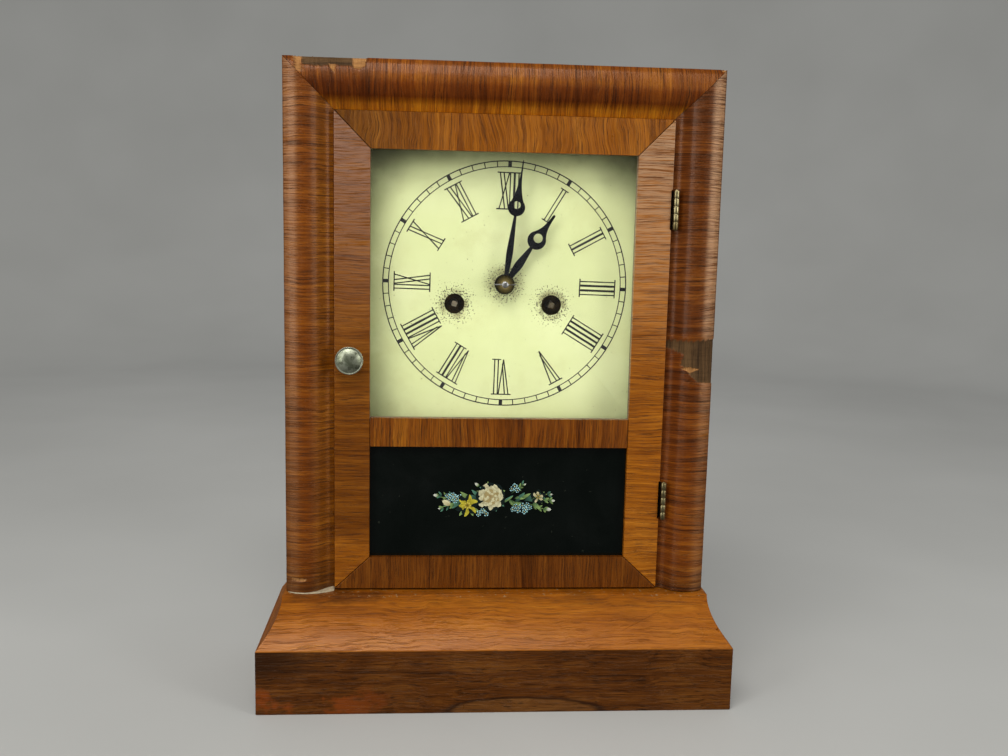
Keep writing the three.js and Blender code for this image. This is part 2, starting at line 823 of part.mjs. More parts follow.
const arborFront = frontPlateFront - arborPast;
const arborBack = backPlateFront + plateThickness + arborPast;

const centreArbor = dialCentre;
const centrePinionModule = (2 * distanceTo(timeWinding, centreArbor)) / (greatTeeth + pinionLeaves);
const strikePinionModule = centrePinionModule;
const thirdArbor = beside(centreArbor, pitchRadius(slowTeeth + pinionLeaves, centreModule), 80);
const escapeArbor = beside(thirdArbor, pitchRadius(slowTeeth + pinionLeaves, fastModule), 50);
const pinArbor = beside(strikeWinding, pitchRadius(greatTeeth + pinionLeaves, strikePinionModule), 75);
const warningArbor = beside(pinArbor, pitchRadius(slowTeeth + pinionLeaves, fastModule), 100);
const flyArbor = beside(warningArbor, pitchRadius(warningTeeth + pinionLeaves, fastModule), 200);
const minuteArbor = beside(centreArbor, pitchRadius(cannonTeeth + minuteTeeth, motionModule), 160);
const hammerArborPlace = { left: 19.7, rise: 4.5 };
const hammerArbor = { x: dialCentre.x - hammerArborPlace.left, z: plate.bottom + hammerArborPlace.rise };
const vergeRise = 15.2;
const vergeArbor = { x: escapeArbor.x, z: escapeArbor.z + vergeRise };

// The wheel's gap faces the next arbor, where a trundle of the pinion stands in it.
function gapTowards(from, to, teeth) {
  return angleTo(from, to) + Math.PI / teeth;
}

const collarRadius = 2.2;
const windowInner = 4;

// An arbor with a wheel that drives the next arbor and a pinion that the last wheel drives.
function wheelAndArbor(wheel) {
  const { centre, teeth, module, front, next, last, spokes, rimWidth } = wheel;
  const outline = toothedOutline(centre, teeth, module, gapTowards(centre, next, teeth));
  const rim = pitchRadius(teeth, module) - wheelDedendum * module - rimWidth;
  crossOut(outline, centre, windowInner, rim, spokes);
  return join(
    flat(outline, front, wheelThickness),
    rod(centre, arborRadius, arborFront, arborBack, arborSides),
    rod(centre, collarRadius, front - collarPast, front + wheelThickness + collarPast),
    ...lanternPinion(centre, wheel.pinionModule, wheel.pinionWheelFront, angleTo(centre, last))
  );
}

const trainWheels = {
  third_wheel: {
    centre: thirdArbor, teeth: slowTeeth, module: fastModule, front: planes.third, next: escapeArbor,
    last: centreArbor, pinionModule: centreModule, pinionWheelFront: planes.centre, spokes: 4,
    rimWidth: 1.6,
  },
  strike_pin_wheel: {
    centre: pinArbor, teeth: slowTeeth, module: fastModule, front: planes.pin, next: warningArbor,
    last: strikeWinding, pinionModule: strikePinionModule, pinionWheelFront: planes.strikeGreat, spokes: 4,
    rimWidth: 3.4,
  },
  strike_warning_wheel: {
    centre: warningArbor, teeth: warningTeeth, module: fastModule, front: planes.warning, next: flyArbor,
    last: pinArbor, pinionModule: fastModule, pinionWheelFront: planes.pin, spokes: 3,
    rimWidth: 1.6,
  },
};

// The lifting pins stand out behind the wheel, where nothing but the hammer's tail comes near.
const pinCircle = 14;
const liftingPinRadius = 0.5;
const liftingPinLength = 2.2;
const liftingPinCount = 8;
const liftingPins = Array.from({ length: liftingPinCount }, (_, i) => {
  const place = polar(pinArbor, pinCircle, (i / liftingPinCount) * 2 * Math.PI);
  const back = planes.pin + wheelThickness;
  return rod({ x: place.x, z: place.y }, liftingPinRadius, back - joinDepth, back + liftingPinLength, 6);
});
for (const [name, wheel] of Object.entries(trainWheels)) {
  const body = wheelAndArbor(wheel);
  addPart(name, name === "strike_pin_wheel" ? join(body, ...liftingPins) : body, colours.brass);
}

// The centre arbor reaches forward through the front plate into the minute arbor's bore.
const centreOutline = toothedOutline(
  centreArbor, slowTeeth, centreModule, gapTowards(centreArbor, thirdArbor, slowTeeth)
);
const centreArborFront = 18;
const centreCollarRadius = 2.6;
const centreRimWidth = 2.2;
const centreRim = pitchRadius(slowTeeth, centreModule) - centreRimWidth;
crossOut(centreOutline, centreArbor, windowInner + 0.5, centreRim, 4);
addPart("centre_wheel", join(
  flat(centreOutline, planes.centre, wheelThickness),
  rod(centreArbor, arborRadius, centreArborFront, arborBack, arborSides),
  rod(centreArbor, centreCollarRadius, planes.centre - 1, planes.centre + wheelThickness + 1),
  ...lanternPinion(centreArbor, centrePinionModule, planes.timeGreat, angleTo(centreArbor, timeWinding))
), colours.brass);

// The escape wheel's teeth lean, and the verge strip rocks just clear of their tips.
const escapeTipRadius = 11;
const escapeToothDepth = 1.9;
const escapeRimWidth = 1.5;
const escapeThickness = 0.8;
const escapeOutline = new THREE.Shape(Array.from({ length: escapeTeeth }, (_, i) => {
  const angle = (i / escapeTeeth) * 2 * Math.PI;
  const step = (2 * Math.PI) / escapeTeeth;
  return [
    polar(escapeArbor, escapeTipRadius - escapeToothDepth, angle - 0.3 * step),
    polar(escapeArbor, escapeTipRadius, angle + 0.18 * step),
    polar(escapeArbor, escapeTipRadius - escapeToothDepth, angle + 0.3 * step),
  ];
}).flat());
const escapeRim = escapeTipRadius - escapeToothDepth - escapeRimWidth;
const escapeCollar = { radius: 1.8, inner: 3, past: 0.6 };
crossOut(escapeOutline, escapeArbor, escapeCollar.inner, escapeRim, 3);
addPart("escape_wheel", join(
  flat(escapeOutline, planes.escape, escapeThickness),
  rod(escapeArbor, arborRadius, arborFront, arborBack, arborSides),
  rod(
    escapeArbor, escapeCollar.radius,
    planes.escape - escapeCollar.past, planes.escape + escapeThickness + escapeCollar.past
  ),
  ...lanternPinion(escapeArbor, fastModule, planes.third, angleTo(escapeArbor, thirdArbor))
), colours.brass);

const flyBlade = { halfWidth: 11, front: 40, back: 51.5, thickness: 0.5 };
addPart("strike_fly", join(
  rod(flyArbor, arborRadius, arborFront, arborBack, arborSides),
  box(
    flyArbor.x - flyBlade.halfWidth, flyArbor.x + flyBlade.halfWidth,
    flyBlade.front, flyBlade.back,
    flyArbor.z - flyBlade.thickness / 2, flyArbor.z + flyBlade.thickness / 2
  ),
  ...lanternPinion(flyArbor, fastModule, planes.warning, angleTo(flyArbor, warningArbor))
), colours.brass);

// ---------------------------------------------------------------- winding

const windingArborRadius = 2.2;
const windingArborFront = 26;
const windingPivotRadius = 1.3;
const windingSquare = { side: 3.2, front: 16.5, length: 11, turn: 0.35 };
const springWidth = 18;
const springCore = 3;
const springOuter = 22;
const springLoops = 5;
const stepsPerLoop = 20;
const springThickness = 0.5;
const ratchetTeeth = 14;
const ratchetRadius = 7;
const ratchetDepth = 1.5;
const ratchetLean = 0.05;
const ratchetThickness = 1.5;

function ratchetOutline(centre) {
  const points = [];
  for (let i = 0; i < ratchetTeeth; i += 1) {
    const angle = (i / ratchetTeeth) * 2 * Math.PI;
    points.push(polar(centre, ratchetRadius - ratchetDepth, angle));
    points.push(polar(centre, ratchetRadius, angle + ratchetLean));
  }
  return new THREE.Shape(points);
}

function windingArbor(centre, ratchetFront) {
  const springsBack = planes.springs + springWidth;
  const square = new THREE.BoxGeometry(windingSquare.side, windingSquare.length, windingSquare.side);
  square.rotateY(windingSquare.turn);
  square.translate(centre.x, windingSquare.front + windingSquare.length / 2, centre.z);
  return join(
    square,
    rod(centre, windingArborRadius, windingArborFront, planes.springs),
    rod(centre, springCore, planes.springs, springsBack),
    rod(centre, windingPivotRadius, springsBack - joinDepth, arborBack),
    flat(ratchetOutline(centre), ratchetFront, ratchetThickness)
  );
}

const clickPivotDistance = 13;
const clickClearance = 0.5;
const clickHalfWidth = 1.7;

// The click is riveted to the wheel and rides just outside the ratchet's tips.
function greatWheel(centre, next, front, ratchetFront) {
  const module = centrePinionModule;
  const outline = toothedOutline(centre, greatTeeth, module, gapTowards(centre, next, greatTeeth));
  holeIn(outline, centre, windingArborRadius + touch, boreSides);
  const pivot = beside(centre, clickPivotDistance, 300);
  const tip = beside(centre, ratchetRadius + clickClearance, 250);
  const click = new THREE.Shape([
    new THREE.Vector2(pivot.x + clickHalfWidth, pivot.z - clickHalfWidth),
    new THREE.Vector2(pivot.x + clickHalfWidth, pivot.z + clickHalfWidth),
    new THREE.Vector2(tip.x + clickClearance, tip.z - clickClearance / 2),
    new THREE.Vector2(tip.x - clickClearance, tip.z - 2 * clickClearance),
  ]);
  return join(
    flat(outline, front, wheelThickness),
    flat(click, ratchetFront, front - ratchetFront + joinDepth / 2)
  );
}

const springPostRadius = 1.5;
const springPostDistance = springOuter + springThickness / 2 + touch + springPostRadius;
const springPosts = {
  time: beside(timeWinding, springPostDistance, -25),
  strike: beside(strikeWinding, springPostDistance, 205),
};

// A flat ribbon wound from the arbor out to the post, drawn as one unbroken outline.
function mainspring(centre, endAngle, handed) {
  const inner = springCore + touch + springThickness / 2;
  const steps = springLoops * stepsPerLoop;
  const ribbon = (offset) => Array.from({ length: steps + 1 }, (_, i) => {
    const share = i / steps;
    const radius = inner + (springOuter - inner) * share + offset;
    return polar(centre, radius, endAngle - handed * (1 - share) * springLoops * 2 * Math.PI);
  });
  const outline = ribbon(springThickness / 2).concat(ribbon(-springThickness / 2).reverse());
  return flat(new THREE.Shape(outline), planes.springs, springWidth);
}

const springPitch = (springOuter - springCore - touch) / springLoops;
console.log(`least gap between mainspring loops ${(springPitch - springThickness).toFixed(2)} mm`);

addPart("time_winding_arbor", windingArbor(timeWinding, planes.timeRatchet), colours.steel);
addPart("strike_winding_arbor", windingArbor(strikeWinding, planes.strikeRatchet), colours.steel);
addPart("time_great_wheel",
  greatWheel(timeWinding, centreArbor, planes.timeGreat, planes.timeRatchet), colours.brass);
addPart("strike_great_wheel",
  greatWheel(strikeWinding, pinArbor, planes.strikeGreat, planes.strikeRatchet), colours.brass);
addPart("time_mainspring",
  mainspring(timeWinding, angleTo(timeWinding, springPosts.time), 1), colours.steel);
addPart("strike_mainspring",
  mainspring(strikeWinding, angleTo(strikeWinding, springPosts.strike), -1), colours.steel);

// ---------------------------------------------------------------- motion work

const crossHoleRadius = handPinRadius + touch;
const crossHole = new THREE.CylinderGeometry(
  crossHoleRadius, crossHoleRadius, 3 * minuteArborRadius, smallSides
);
crossHole.rotateZ(Math.PI / 2);
crossHole.translate(dialCentre.x, handPinDepth, dialCentre.z);
const minuteArborBack = 27;
const cannonThickness = 2;
const cannonLead = 0.4;
const boreFront = centreArborFront - pastFace;
addPart("minute_arbor", cut(
  join(
    rod(centreArbor, minuteArborRadius, arborTip + 0.5, minuteArborBack, 20),
    turned(centreArbor, [
      [0, arborTip],
      [minuteArborRadius * 0.6, arborTip + 0.12],
      [minuteArborRadius, arborTip + 0.5],
      [minuteArborRadius, arborTip + 1],
      [0, arborTip + 1],
    ], 20),
    flat(
      toothedOutline(centreArbor, cannonTeeth, motionModule, angleTo(centreArbor, minuteArbor)),
      planes.minute - cannonLead, cannonThickness
    )
  ),
  rod(centreArbor, arborRadius + runningGap, boreFront, minuteArborBack + pastFace, boreSides),
  crossHole
), colours.steel);

const towardsCannon = gapTowards(minuteArbor, centreArbor, minuteTeeth);
const minutePostRadius = 0.8;
const minutePostPast = 1.4;
addPart("minute_wheel", cut(
  join(
    flat(
      toothedOutline(minuteArbor, minuteTeeth, motionModule, towardsCannon),
      planes.minute, wheelThickness
    ),
    flat(
      toothedOutline(
        minuteArbor, minutePinionTeeth, motionModule,
        gapTowards(minuteArbor, centreArbor, minutePinionTeeth)
      ),
      planes.hour - cannonLead, planes.minute - planes.hour + 2 * cannonLead
    )
  ),
  rod(minuteArbor, minutePostRadius + touch, planes.hour - minutePostPast, frontPlateFront)
), colours.brass);

const hourPipeFront = hourHandFront - 0.4;
addPart("hour_wheel", cut(
  join(
    flat(
      toothedOutline(centreArbor, hourTeeth, motionModule, angleTo(centreArbor, minuteArbor)),
      planes.hour, wheelThickness
    ),
    rod(centreArbor, hourPipeRadius, hourPipeFront, planes.hour + wheelThickness / 2, 20)
  ),
  rod(centreArbor, hourPipeBore, hourPipeFront - pastFace, planes.hour + wheelThickness + pastFace, 20)
), colours.brass);

// ---------------------------------------------------------------- plates

const pendulumDepth = 26.5;
const suspensionRise = 6.1;
const suspensionPost = { halfWidth: 2.6, ahead: 2.4, top: 4.4 };
const suspensionTop = { x: escapeArbor.x, z: vergeArbor.z + suspensionRise };
const pivotRadius = arborRadius + runningGap;

// Openings in both plates, placed from the dial's centre.
const plateWindows = [
  { left: -9.7, width: 30, bottom: -42.6, height: 24 },
  { left: 39.3, width: 10, bottom: -30.6, height: 74 },
  { left: -50.7, width: 8, bottom: -30.6, height: 50 },
  { left: -13.7, width: 20, bottom: 32.4, height: 24 },
];

function movementPlate(front) {
  const { left, right, bottom, top, corner } = plate;
  const shape = new THREE.Shape([
    new THREE.Vector2(left + corner, bottom),
    new THREE.Vector2(right - corner, bottom),
    new THREE.Vector2(right, bottom + corner),
    new THREE.Vector2(right, top - corner),
    new THREE.Vector2(right - corner, top),
    new THREE.Vector2(left + corner, top),
    new THREE.Vector2(left, top - corner),
    new THREE.Vector2(left, bottom + corner),
  ]);
  for (const opening of plateWindows) {
    const windowLeft = dialCentre.x + opening.left;
    const windowBottom = dialCentre.z + opening.bottom;
    shape.holes.push(new THREE.Path([
      new THREE.Vector2(windowLeft, windowBottom),
      new THREE.Vector2(windowLeft + opening.width, windowBottom),
      new THREE.Vector2(windowLeft + opening.width, windowBottom + opening.height),
      new THREE.Vector2(windowLeft, windowBottom + opening.height),
    ]));
  }
  const pivots = [
    centreArbor, thirdArbor, escapeArbor, vergeArbor,
    pinArbor, warningArbor, flyArbor, hammerArbor,
  ];
  pivots.forEach((place) => holeIn(shape, place, pivotRadius, arborSides));
  const windingRadius = front === frontPlateFront ? windingArborRadius : windingPivotRadius;
  holeIn(shape, timeWinding, windingRadius + runningGap, boreSides);
  holeIn(shape, strikeWinding, windingRadius + runningGap, boreSides);
  if (front === frontPlateFront) {
    pillars.forEach((place) => holeIn(shape, place, pillarTenonRadius + touch));
  }
  return flat(shape, front, plateThickness);
}

// The post stands out from the front plate and holds the suspension strip over the verge.
addPart("movement_front_plate", join(
  movementPlate(frontPlateFront),
  rod(minuteArbor, minutePostRadius, planes.hour - minutePostPast, frontPlateFront + joinDepth),
  box(
    suspensionTop.x - suspensionPost.halfWidth, suspensionTop.x + suspensionPost.halfWidth,
    pendulumDepth - suspensionPost.ahead, frontPlateFront + joinDepth,
    suspensionTop.z + touch, suspensionTop.z + suspensionPost.top
  )
), colours.brass);

const pillarShoulder = frontPlateFront + plateThickness + touch;
const pillarTenonBack = frontPlateFront + plateThickness + tenonRoot;
addPart("movement_back_plate", join(
  movementPlate(backPlateFront),
  ...pillars.map((place) => rod(place, pillarRadius, pillarShoulder, backboardFront - touch)),
  ...pillars.map((place) => rod(place, pillarTenonRadius, frontPlateFront - tenonPast, pillarTenonBack)),
  ...Object.values(springPosts).map((place) =>
    rod(place, springPostRadius, planes.springs - 1, backPlateFront + joinDepth))
), colours.brass);

// ---------------------------------------------------------------- verge and pendulum

const pendulumLength = 196.5;
const stripLength = 12.5;
const bobCentre = { x: escapeArbor.x, z: suspensionTop.z - pendulumLength };
const bobRadius = 17;
const rodRadius = 0.8;
const crutchLength = 23.4;
const crutchEnd = vergeArbor.z - crutchLength;
const crutchFront = pendulumDepth + rodRadius + touch;
const crutchHalfWidth = 0.6;
const crutchThickness = 1;
const forkHeight = 1.2;
const forkGap = 0.4;
const forkProngLength = 2.6;
const forkLeft = vergeArbor.x - rodRadius - forkGap - crutchThickness;
const forkRight = vergeArbor.x + rodRadius + forkGap + crutchThickness;

// The pallets stand astride the escape wheel, outside its tips at both ends of the swing.
const palletAngle = THREE.MathUtils.degToRad(50);
const palletRadius = escapeTipRadius + 1.6;
const kneeRadius = escapeTipRadius + 2.4;
const stripThickness = 1.1;
const stripWidth = 1.6;
const saddle = { halfWidth: 1.5, rise: 1.6 };
const stripInner = [
  polar(escapeArbor, palletRadius, Math.PI / 2 - palletAngle),
  polar(escapeArbor, kneeRadius, Math.PI / 2 - palletAngle / 2),
  polar(escapeArbor, kneeRadius, Math.PI / 2 + palletAngle / 2),
  polar(escapeArbor, palletRadius, Math.PI / 2 + palletAngle),
];
const stripOuter = [
  polar(escapeArbor, palletRadius + stripThickness, Math.PI / 2 + palletAngle),
  polar(escapeArbor, kneeRadius + stripThickness, Math.PI / 2 + palletAngle / 2),
  new THREE.Vector2(vergeArbor.x - saddle.halfWidth, vergeArbor.z + saddle.rise),
  new THREE.Vector2(vergeArbor.x + saddle.halfWidth, vergeArbor.z + saddle.rise),
  polar(escapeArbor, kneeRadius + stripThickness, Math.PI / 2 - palletAngle / 2),
  polar(escapeArbor, palletRadius + stripThickness, Math.PI / 2 - palletAngle),
];
const strip = new THREE.Shape([...stripInner, ...stripOuter]);
const crutchBack = crutchFront + crutchThickness;
const forkTop = crutchEnd + forkHeight;
const prongs = [forkLeft, forkRight - crutchThickness].map((left) => box(
  left, left + crutchThickness,
  crutchFront - forkProngLength, crutchBack - joinDepth / 2,
  crutchEnd, forkTop
));
addPart("verge", join(
  flat(strip, planes.escape + (escapeThickness - stripWidth) / 2, stripWidth),
  rod(vergeArbor, arborRadius, crutchFront, arborBack, arborSides),
  box(
    vergeArbor.x - crutchHalfWidth, vergeArbor.x + crutchHalfWidth,
    crutchFront, crutchBack,
    crutchEnd, vergeArbor.z
  ),
  box(forkLeft, forkRight, crutchFront, crutchBack, crutchEnd, forkTop),
  ...prongs
), colours.steel);

const pendulumPivot = { x: escapeArbor.x, z: suspensionTop.z };
const stripHalfWidth = 1.6;
const stripHalfDepth = 0.25;
const ratingNut = { radius: 2.4, height: 3.4 };
const nutGap = 1.6;
const rodFoot = bobCentre.z - bobRadius - ratingNut.height - nutGap;
const rodTop = pendulumPivot.z - stripLength + 3 * joinDepth;
addPart("pendulum_rod", join(
  box(
    pendulumPivot.x - stripHalfWidth, pendulumPivot.x + stripHalfWidth,
    pendulumDepth - stripHalfDepth, pendulumDepth + stripHalfDepth,
    pendulumPivot.z - stripLength, pendulumPivot.z
  ),
  uprightRod(pendulumPivot.x, pendulumDepth, rodRadius, rodFoot, rodTop),
  uprightRod(pendulumPivot.x, pendulumDepth, ratingNut.radius, rodFoot, rodFoot + ratingNut.height)
), colours.steel);

const bobHalfDepth = 4.6;

// Each pair is a share of the bob's radius and a share of its half depth.
const bobProfile = [
  [0, -1], [0.45, -0.89], [0.8, -0.52], [1, -0.09],
  [1, 0.09], [0.8, 0.52], [0.45, 0.89], [0, 1],
];
const bob = turned(bobCentre, bobProfile.map(([out, depth]) =>
  [out * bobRadius, pendulumDepth + depth * bobHalfDepth]));
const bobBore = uprightRod(
  bobCentre.x, pendulumDepth, rodRadius + touch,
  bobCentre.z - 2 * bobRadius, bobCentre.z + 2 * bobRadius
);
addPart("pendulum_bob", cut(bob, bobBore), colours.brass);

// ---------------------------------------------------------------- gong and hammer

const gongPlace = { left: 14, rise: 56.5 };
const gongCentre = { x: -gongPlace.left, z: baseTop + gongPlace.rise };
const gongDepth = 77;
const gongWire = 1.2;
const gongLoops = 4;
const gongInner = 6.4;
const gongOuter = 34;

class GongSpiral extends THREE.Curve {
  getPoint(share, target = new THREE.Vector3()) {
    const angle = THREE.MathUtils.degToRad(-90) + share * gongLoops * 2 * Math.PI;
    const radius = gongInner + (gongOuter - gongInner) * share;
    return target.set(
      gongCentre.x + radius * Math.cos(angle),
      gongDepth,
      gongCentre.z + radius * Math.sin(angle)
    );
  }
}

function roundBar(path, radius, steps, sides) {
  const section = new THREE.Shape(circlePoints({ x: 0, z: 0 }, radius, sides));
  const geometry = new THREE.ExtrudeGeometry(section, { steps, extrudePath: path, bevelEnabled: false });
  return outward(mergeVertices(bare(geometry), 1e-4));
}

addPart("gong_coil", roundBar(new GongSpiral(), gongWire, gongLoops * 24, 6), colours.steel);
const gongGap = (gongOuter - gongInner) / gongLoops - 2 * gongWire;
console.log(`least gap between gong loops ${gongGap.toFixed(2)} mm`);

const gongBossRadius = gongInner - gongWire - touch;
const gongBossAhead = 3.5;
const gongFoot = { radius: 13, thickness: 3, back: backboardFront - touch };
addPart("gong_block", join(
  rod(gongCentre, gongBossRadius, gongDepth - gongBossAhead, gongFoot.back, boreSides),
  rod(gongCentre, gongFoot.radius, gongFoot.back - gongFoot.thickness, gongFoot.back, roundSides)
), colours.iron);

const headRadius = 3.6;
const headLength = 7;
const strikingGap = 1.2;
const hammerHead = beside(gongCentre, gongOuter + gongWire + strikingGap + headRadius, 152);
const hammerWire = new THREE.CatmullRomCurve3([
  new THREE.Vector3(hammerArbor.x, gongDepth - 0.5, hammerArbor.z),
  new THREE.Vector3(hammerArbor.x - 9, gongDepth, hammerArbor.z - 22),
  new THREE.Vector3(hammerHead.x, gongDepth, hammerHead.z + 12),
  new THREE.Vector3(hammerHead.x, gongDepth, hammerHead.z),
]);
const head = new THREE.CylinderGeometry(headRadius, headRadius, headLength, boreSides);
head.rotateZ(Math.PI / 2);
head.translate(hammerHead.x, gongDepth, hammerHead.z);
const tailClearance = 1.2;
const tailTop = pinArbor.z - pinCircle - tailClearance;
const tail = { left: 2.6, width: 1.6, thickness: 1, collarRadius: 2, collarPast: 0.6 };
const tailLeft = hammerArbor.x - tail.left;
const tailBack = planes.hammerTail + tail.thickness;
addPart("strike_hammer", join(
  rod(hammerArbor, arborRadius, arborFront, gongDepth + 1, arborSides),
  rod(hammerArbor, tail.collarRadius, planes.hammerTail - tail.collarPast, tailBack + tail.collarPast),
  box(tailLeft, tailLeft + tail.width, planes.hammerTail, tailBack, hammerArbor.z - 1, tailTop),
  roundBar(hammerWire, arborRadius, 12, 6),
  head
), colours.steel);

export default clock;
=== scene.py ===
import json
import math
import random

import bpy
import bmesh
from mathutils import Matrix, Vector, noise

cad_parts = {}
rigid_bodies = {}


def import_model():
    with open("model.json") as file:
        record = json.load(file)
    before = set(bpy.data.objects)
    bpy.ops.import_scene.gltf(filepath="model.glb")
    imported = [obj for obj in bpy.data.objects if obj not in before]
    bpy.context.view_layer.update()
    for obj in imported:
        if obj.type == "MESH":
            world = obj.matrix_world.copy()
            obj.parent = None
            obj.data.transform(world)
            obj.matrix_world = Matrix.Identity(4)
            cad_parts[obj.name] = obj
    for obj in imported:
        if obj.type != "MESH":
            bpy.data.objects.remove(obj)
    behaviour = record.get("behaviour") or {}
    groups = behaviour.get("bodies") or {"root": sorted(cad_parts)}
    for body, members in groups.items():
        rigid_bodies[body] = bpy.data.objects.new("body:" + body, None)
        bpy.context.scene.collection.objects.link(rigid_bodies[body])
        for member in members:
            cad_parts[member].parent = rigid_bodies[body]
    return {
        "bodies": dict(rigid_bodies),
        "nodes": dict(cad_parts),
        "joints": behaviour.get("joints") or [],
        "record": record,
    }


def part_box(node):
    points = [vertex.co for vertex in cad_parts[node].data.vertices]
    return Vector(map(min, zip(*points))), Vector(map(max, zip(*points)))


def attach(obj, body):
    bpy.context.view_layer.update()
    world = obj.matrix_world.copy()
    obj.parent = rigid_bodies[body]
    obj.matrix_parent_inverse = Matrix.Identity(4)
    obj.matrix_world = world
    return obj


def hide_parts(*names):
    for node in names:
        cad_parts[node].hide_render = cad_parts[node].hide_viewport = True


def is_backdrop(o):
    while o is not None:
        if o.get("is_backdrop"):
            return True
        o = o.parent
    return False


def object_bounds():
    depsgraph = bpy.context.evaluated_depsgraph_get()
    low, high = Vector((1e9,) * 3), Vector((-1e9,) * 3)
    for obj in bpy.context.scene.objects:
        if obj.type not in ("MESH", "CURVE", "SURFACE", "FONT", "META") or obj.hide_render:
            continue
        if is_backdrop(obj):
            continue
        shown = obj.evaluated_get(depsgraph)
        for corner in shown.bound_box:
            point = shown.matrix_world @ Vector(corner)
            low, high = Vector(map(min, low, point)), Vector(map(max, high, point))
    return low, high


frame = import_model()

CAD_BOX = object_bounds()
NODES = frame["nodes"]
MM = 0.001
HUB = 0.001  # the radius, mm, that closes a turned body at its middle
DEPTH_CENTRE = 34.3  # the door's front face is this far in front of the clock's middle, mm

# ------------------------------------------------------------------ sizes, mm

CASE_HEIGHT = 396.0
CASE_HALF = 132.0
CASE_BACK = 92.0
BASE_TOP = 71.5
PLINTH_HEIGHT = 40.6
PLINTH_HALF = 148.3
PLINTH_PROJECTION = 23.4
COVE_DEPTH = 14.5
COVE_CONTROL = 57.9
BASE_WALL = 13.0
MOULDING_WIDTH = 29.5
MITRE_GAP = 0.12
OGEE_KNOTS = ((0, -1.2), (4, -4.2), (12.5, -6.1), (19.5, -3.5), (25, 1.6), (29.5, 3.8))
DIAL = (1.7, 264.6)
DIAL_FRONT = 17.5
DIAL_HALF = (86.2, 92.0)
DIAL_THICKNESS = 0.8
CENTRE_HOLE = 6.0
RING = (72.7, 76.2)
NUMERALS = (47.0, 69.2)
WINDING = ((31.7, 251.8), (-29.2, 251.8))
WINDING_HOLE = 6.3
SCREW_HOLE = 1.5
DIAL_SCREWS = [(sx * 83.6, DIAL[1] + sz * 86.0) for sx in (-1, 1) for sz in (-1, 1)]
KNOB = (-92.6, 218.1)
HINGE_AXIS = (104.35, -1.0)
HINGE_HALF = 11.7
HINGES = {"upper": 312.2, "lower": 130.2}
PENDULUM_X = 16.86
PENDULUM_DEPTH = 26.5
SUSPENSION_Z = 320.5
BOB_Z = 124.0
BOB_RADIUS = 17.0
GONG = (-14.0, 128.0)
GONG_DEPTH = 77.0


def P(x, y, z):
    """A point given in mm, with its depth from the door's face, as the scene's metres."""
    return Vector((x * MM, (y - DEPTH_CENTRE) * MM, z * MM))


# ------------------------------------------------------------------ mesh helpers


def linked(name, data):
    """An object in the scene around a mesh, curve, lamp or camera."""
    obj = bpy.data.objects.new(name, data)
    bpy.context.scene.collection.objects.link(obj)
    return obj


def add_object(name, mesh, material, body, smooth=None, replaced=None):
    """Adds a mesh as a piece, which may stand for a CAD node; smooth is the largest angle shaded round."""
    obj = linked(name, mesh)
    if smooth is not None:
        smooth_by_angle(mesh, smooth)
    mesh.materials.clear()
    mesh.materials.append(material)
    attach(obj, body)
    if replaced:
        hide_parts(replaced)
    return obj


def mesh_from(vertices, faces, values=None):
    """values maps an attribute's name to one number for each vertex."""
    mesh = bpy.data.meshes.new("mesh")
    mesh.from_pydata([tuple(v) for v in vertices], [], [tuple(f) for f in faces])
    for name, numbers in (values or {}).items():
        mesh.attributes.new(name, "FLOAT", "POINT").data.foreach_set("value", numbers)
    mesh.update()
    return mesh


def opened(*meshes):
    bm = bmesh.new()
    for mesh in meshes:
        bm.from_mesh(mesh)
    return bm


def closed(bm, mesh=None):
    """Writes a bmesh into the given mesh or a new one."""
    mesh = mesh or bpy.data.meshes.new("mesh")
    bm.to_mesh(mesh)
    bm.free()
    return mesh


def joined(*meshes):
    """One mesh with all the parts, still apart."""
    return closed(opened(*meshes))


def tidy(mesh, weld=1e-6):
    """Welds what coincides, drops what has no area and turns the faces outward."""
    bm = opened(mesh)
    bmesh.ops.remove_doubles(bm, verts=bm.verts, dist=weld)
    bmesh.ops.dissolve_degenerate(bm, edges=bm.edges, dist=weld)
    bmesh.ops.recalc_face_normals(bm, faces=bm.faces)
    closed(bm, mesh).update()
    return mesh


def smooth_by_angle(mesh, degrees):
    """Shades round all but the edges that turn by more than an angle."""
    bm = opened(mesh)
    for face in bm.faces:
        face.smooth = True
    for edge in bm.edges:
        edge.smooth = len(edge.link_faces) == 2 and edge.calc_face_angle(0.0) < math.radians(degrees)
    closed(bm, mesh)


def skin(rings, values=None):
    """A closed skin through rings of points that all have the same count."""
    count = len(rings[0])
    faces = []
    for r in range(len(rings) - 1):
        for i in range(count):
            j = (i + 1) % count
            here, above = r * count, (r + 1) * count
            faces.append((here + i, here + j, above + j, above + i))
    last = (len(rings) - 1) * count
    faces.append(tuple(range(count - 1, -1, -1)))
    faces.append(tuple(last + i for i in range(count)))
    return tidy(mesh_from([p for ring in rings for p in ring], faces, values))


def box(x0, x1, y0, y1, z0, z1, edge):
    """A block with its edges rounded by edge."""
    bm = bmesh.new()
    bmesh.ops.create_cube(bm, size=1.0)
    low, high = P(min(x0, x1), y0, z0), P(max(x0, x1), y1, z1)
    for v in bm.verts:
        v.co = [low[i] + (v.co[i] + 0.5) * (high[i] - low[i]) for i in range(3)]
    bmesh.ops.bevel(bm, geom=bm.edges, offset=edge * MM, segments=3, profile=0.5, affect="EDGES")
    return closed(bm)


def steps_round(count):
    """The cosine and sine of equal steps round a circle."""
    angles = [2 * math.pi * i / count for i in range(count)]
    return [(math.cos(angle), math.sin(angle)) for angle in angles]


def circle(x, z, radius, sides=64):
    return [(x + radius * c, z + radius * s) for c, s in steps_round(sides)]


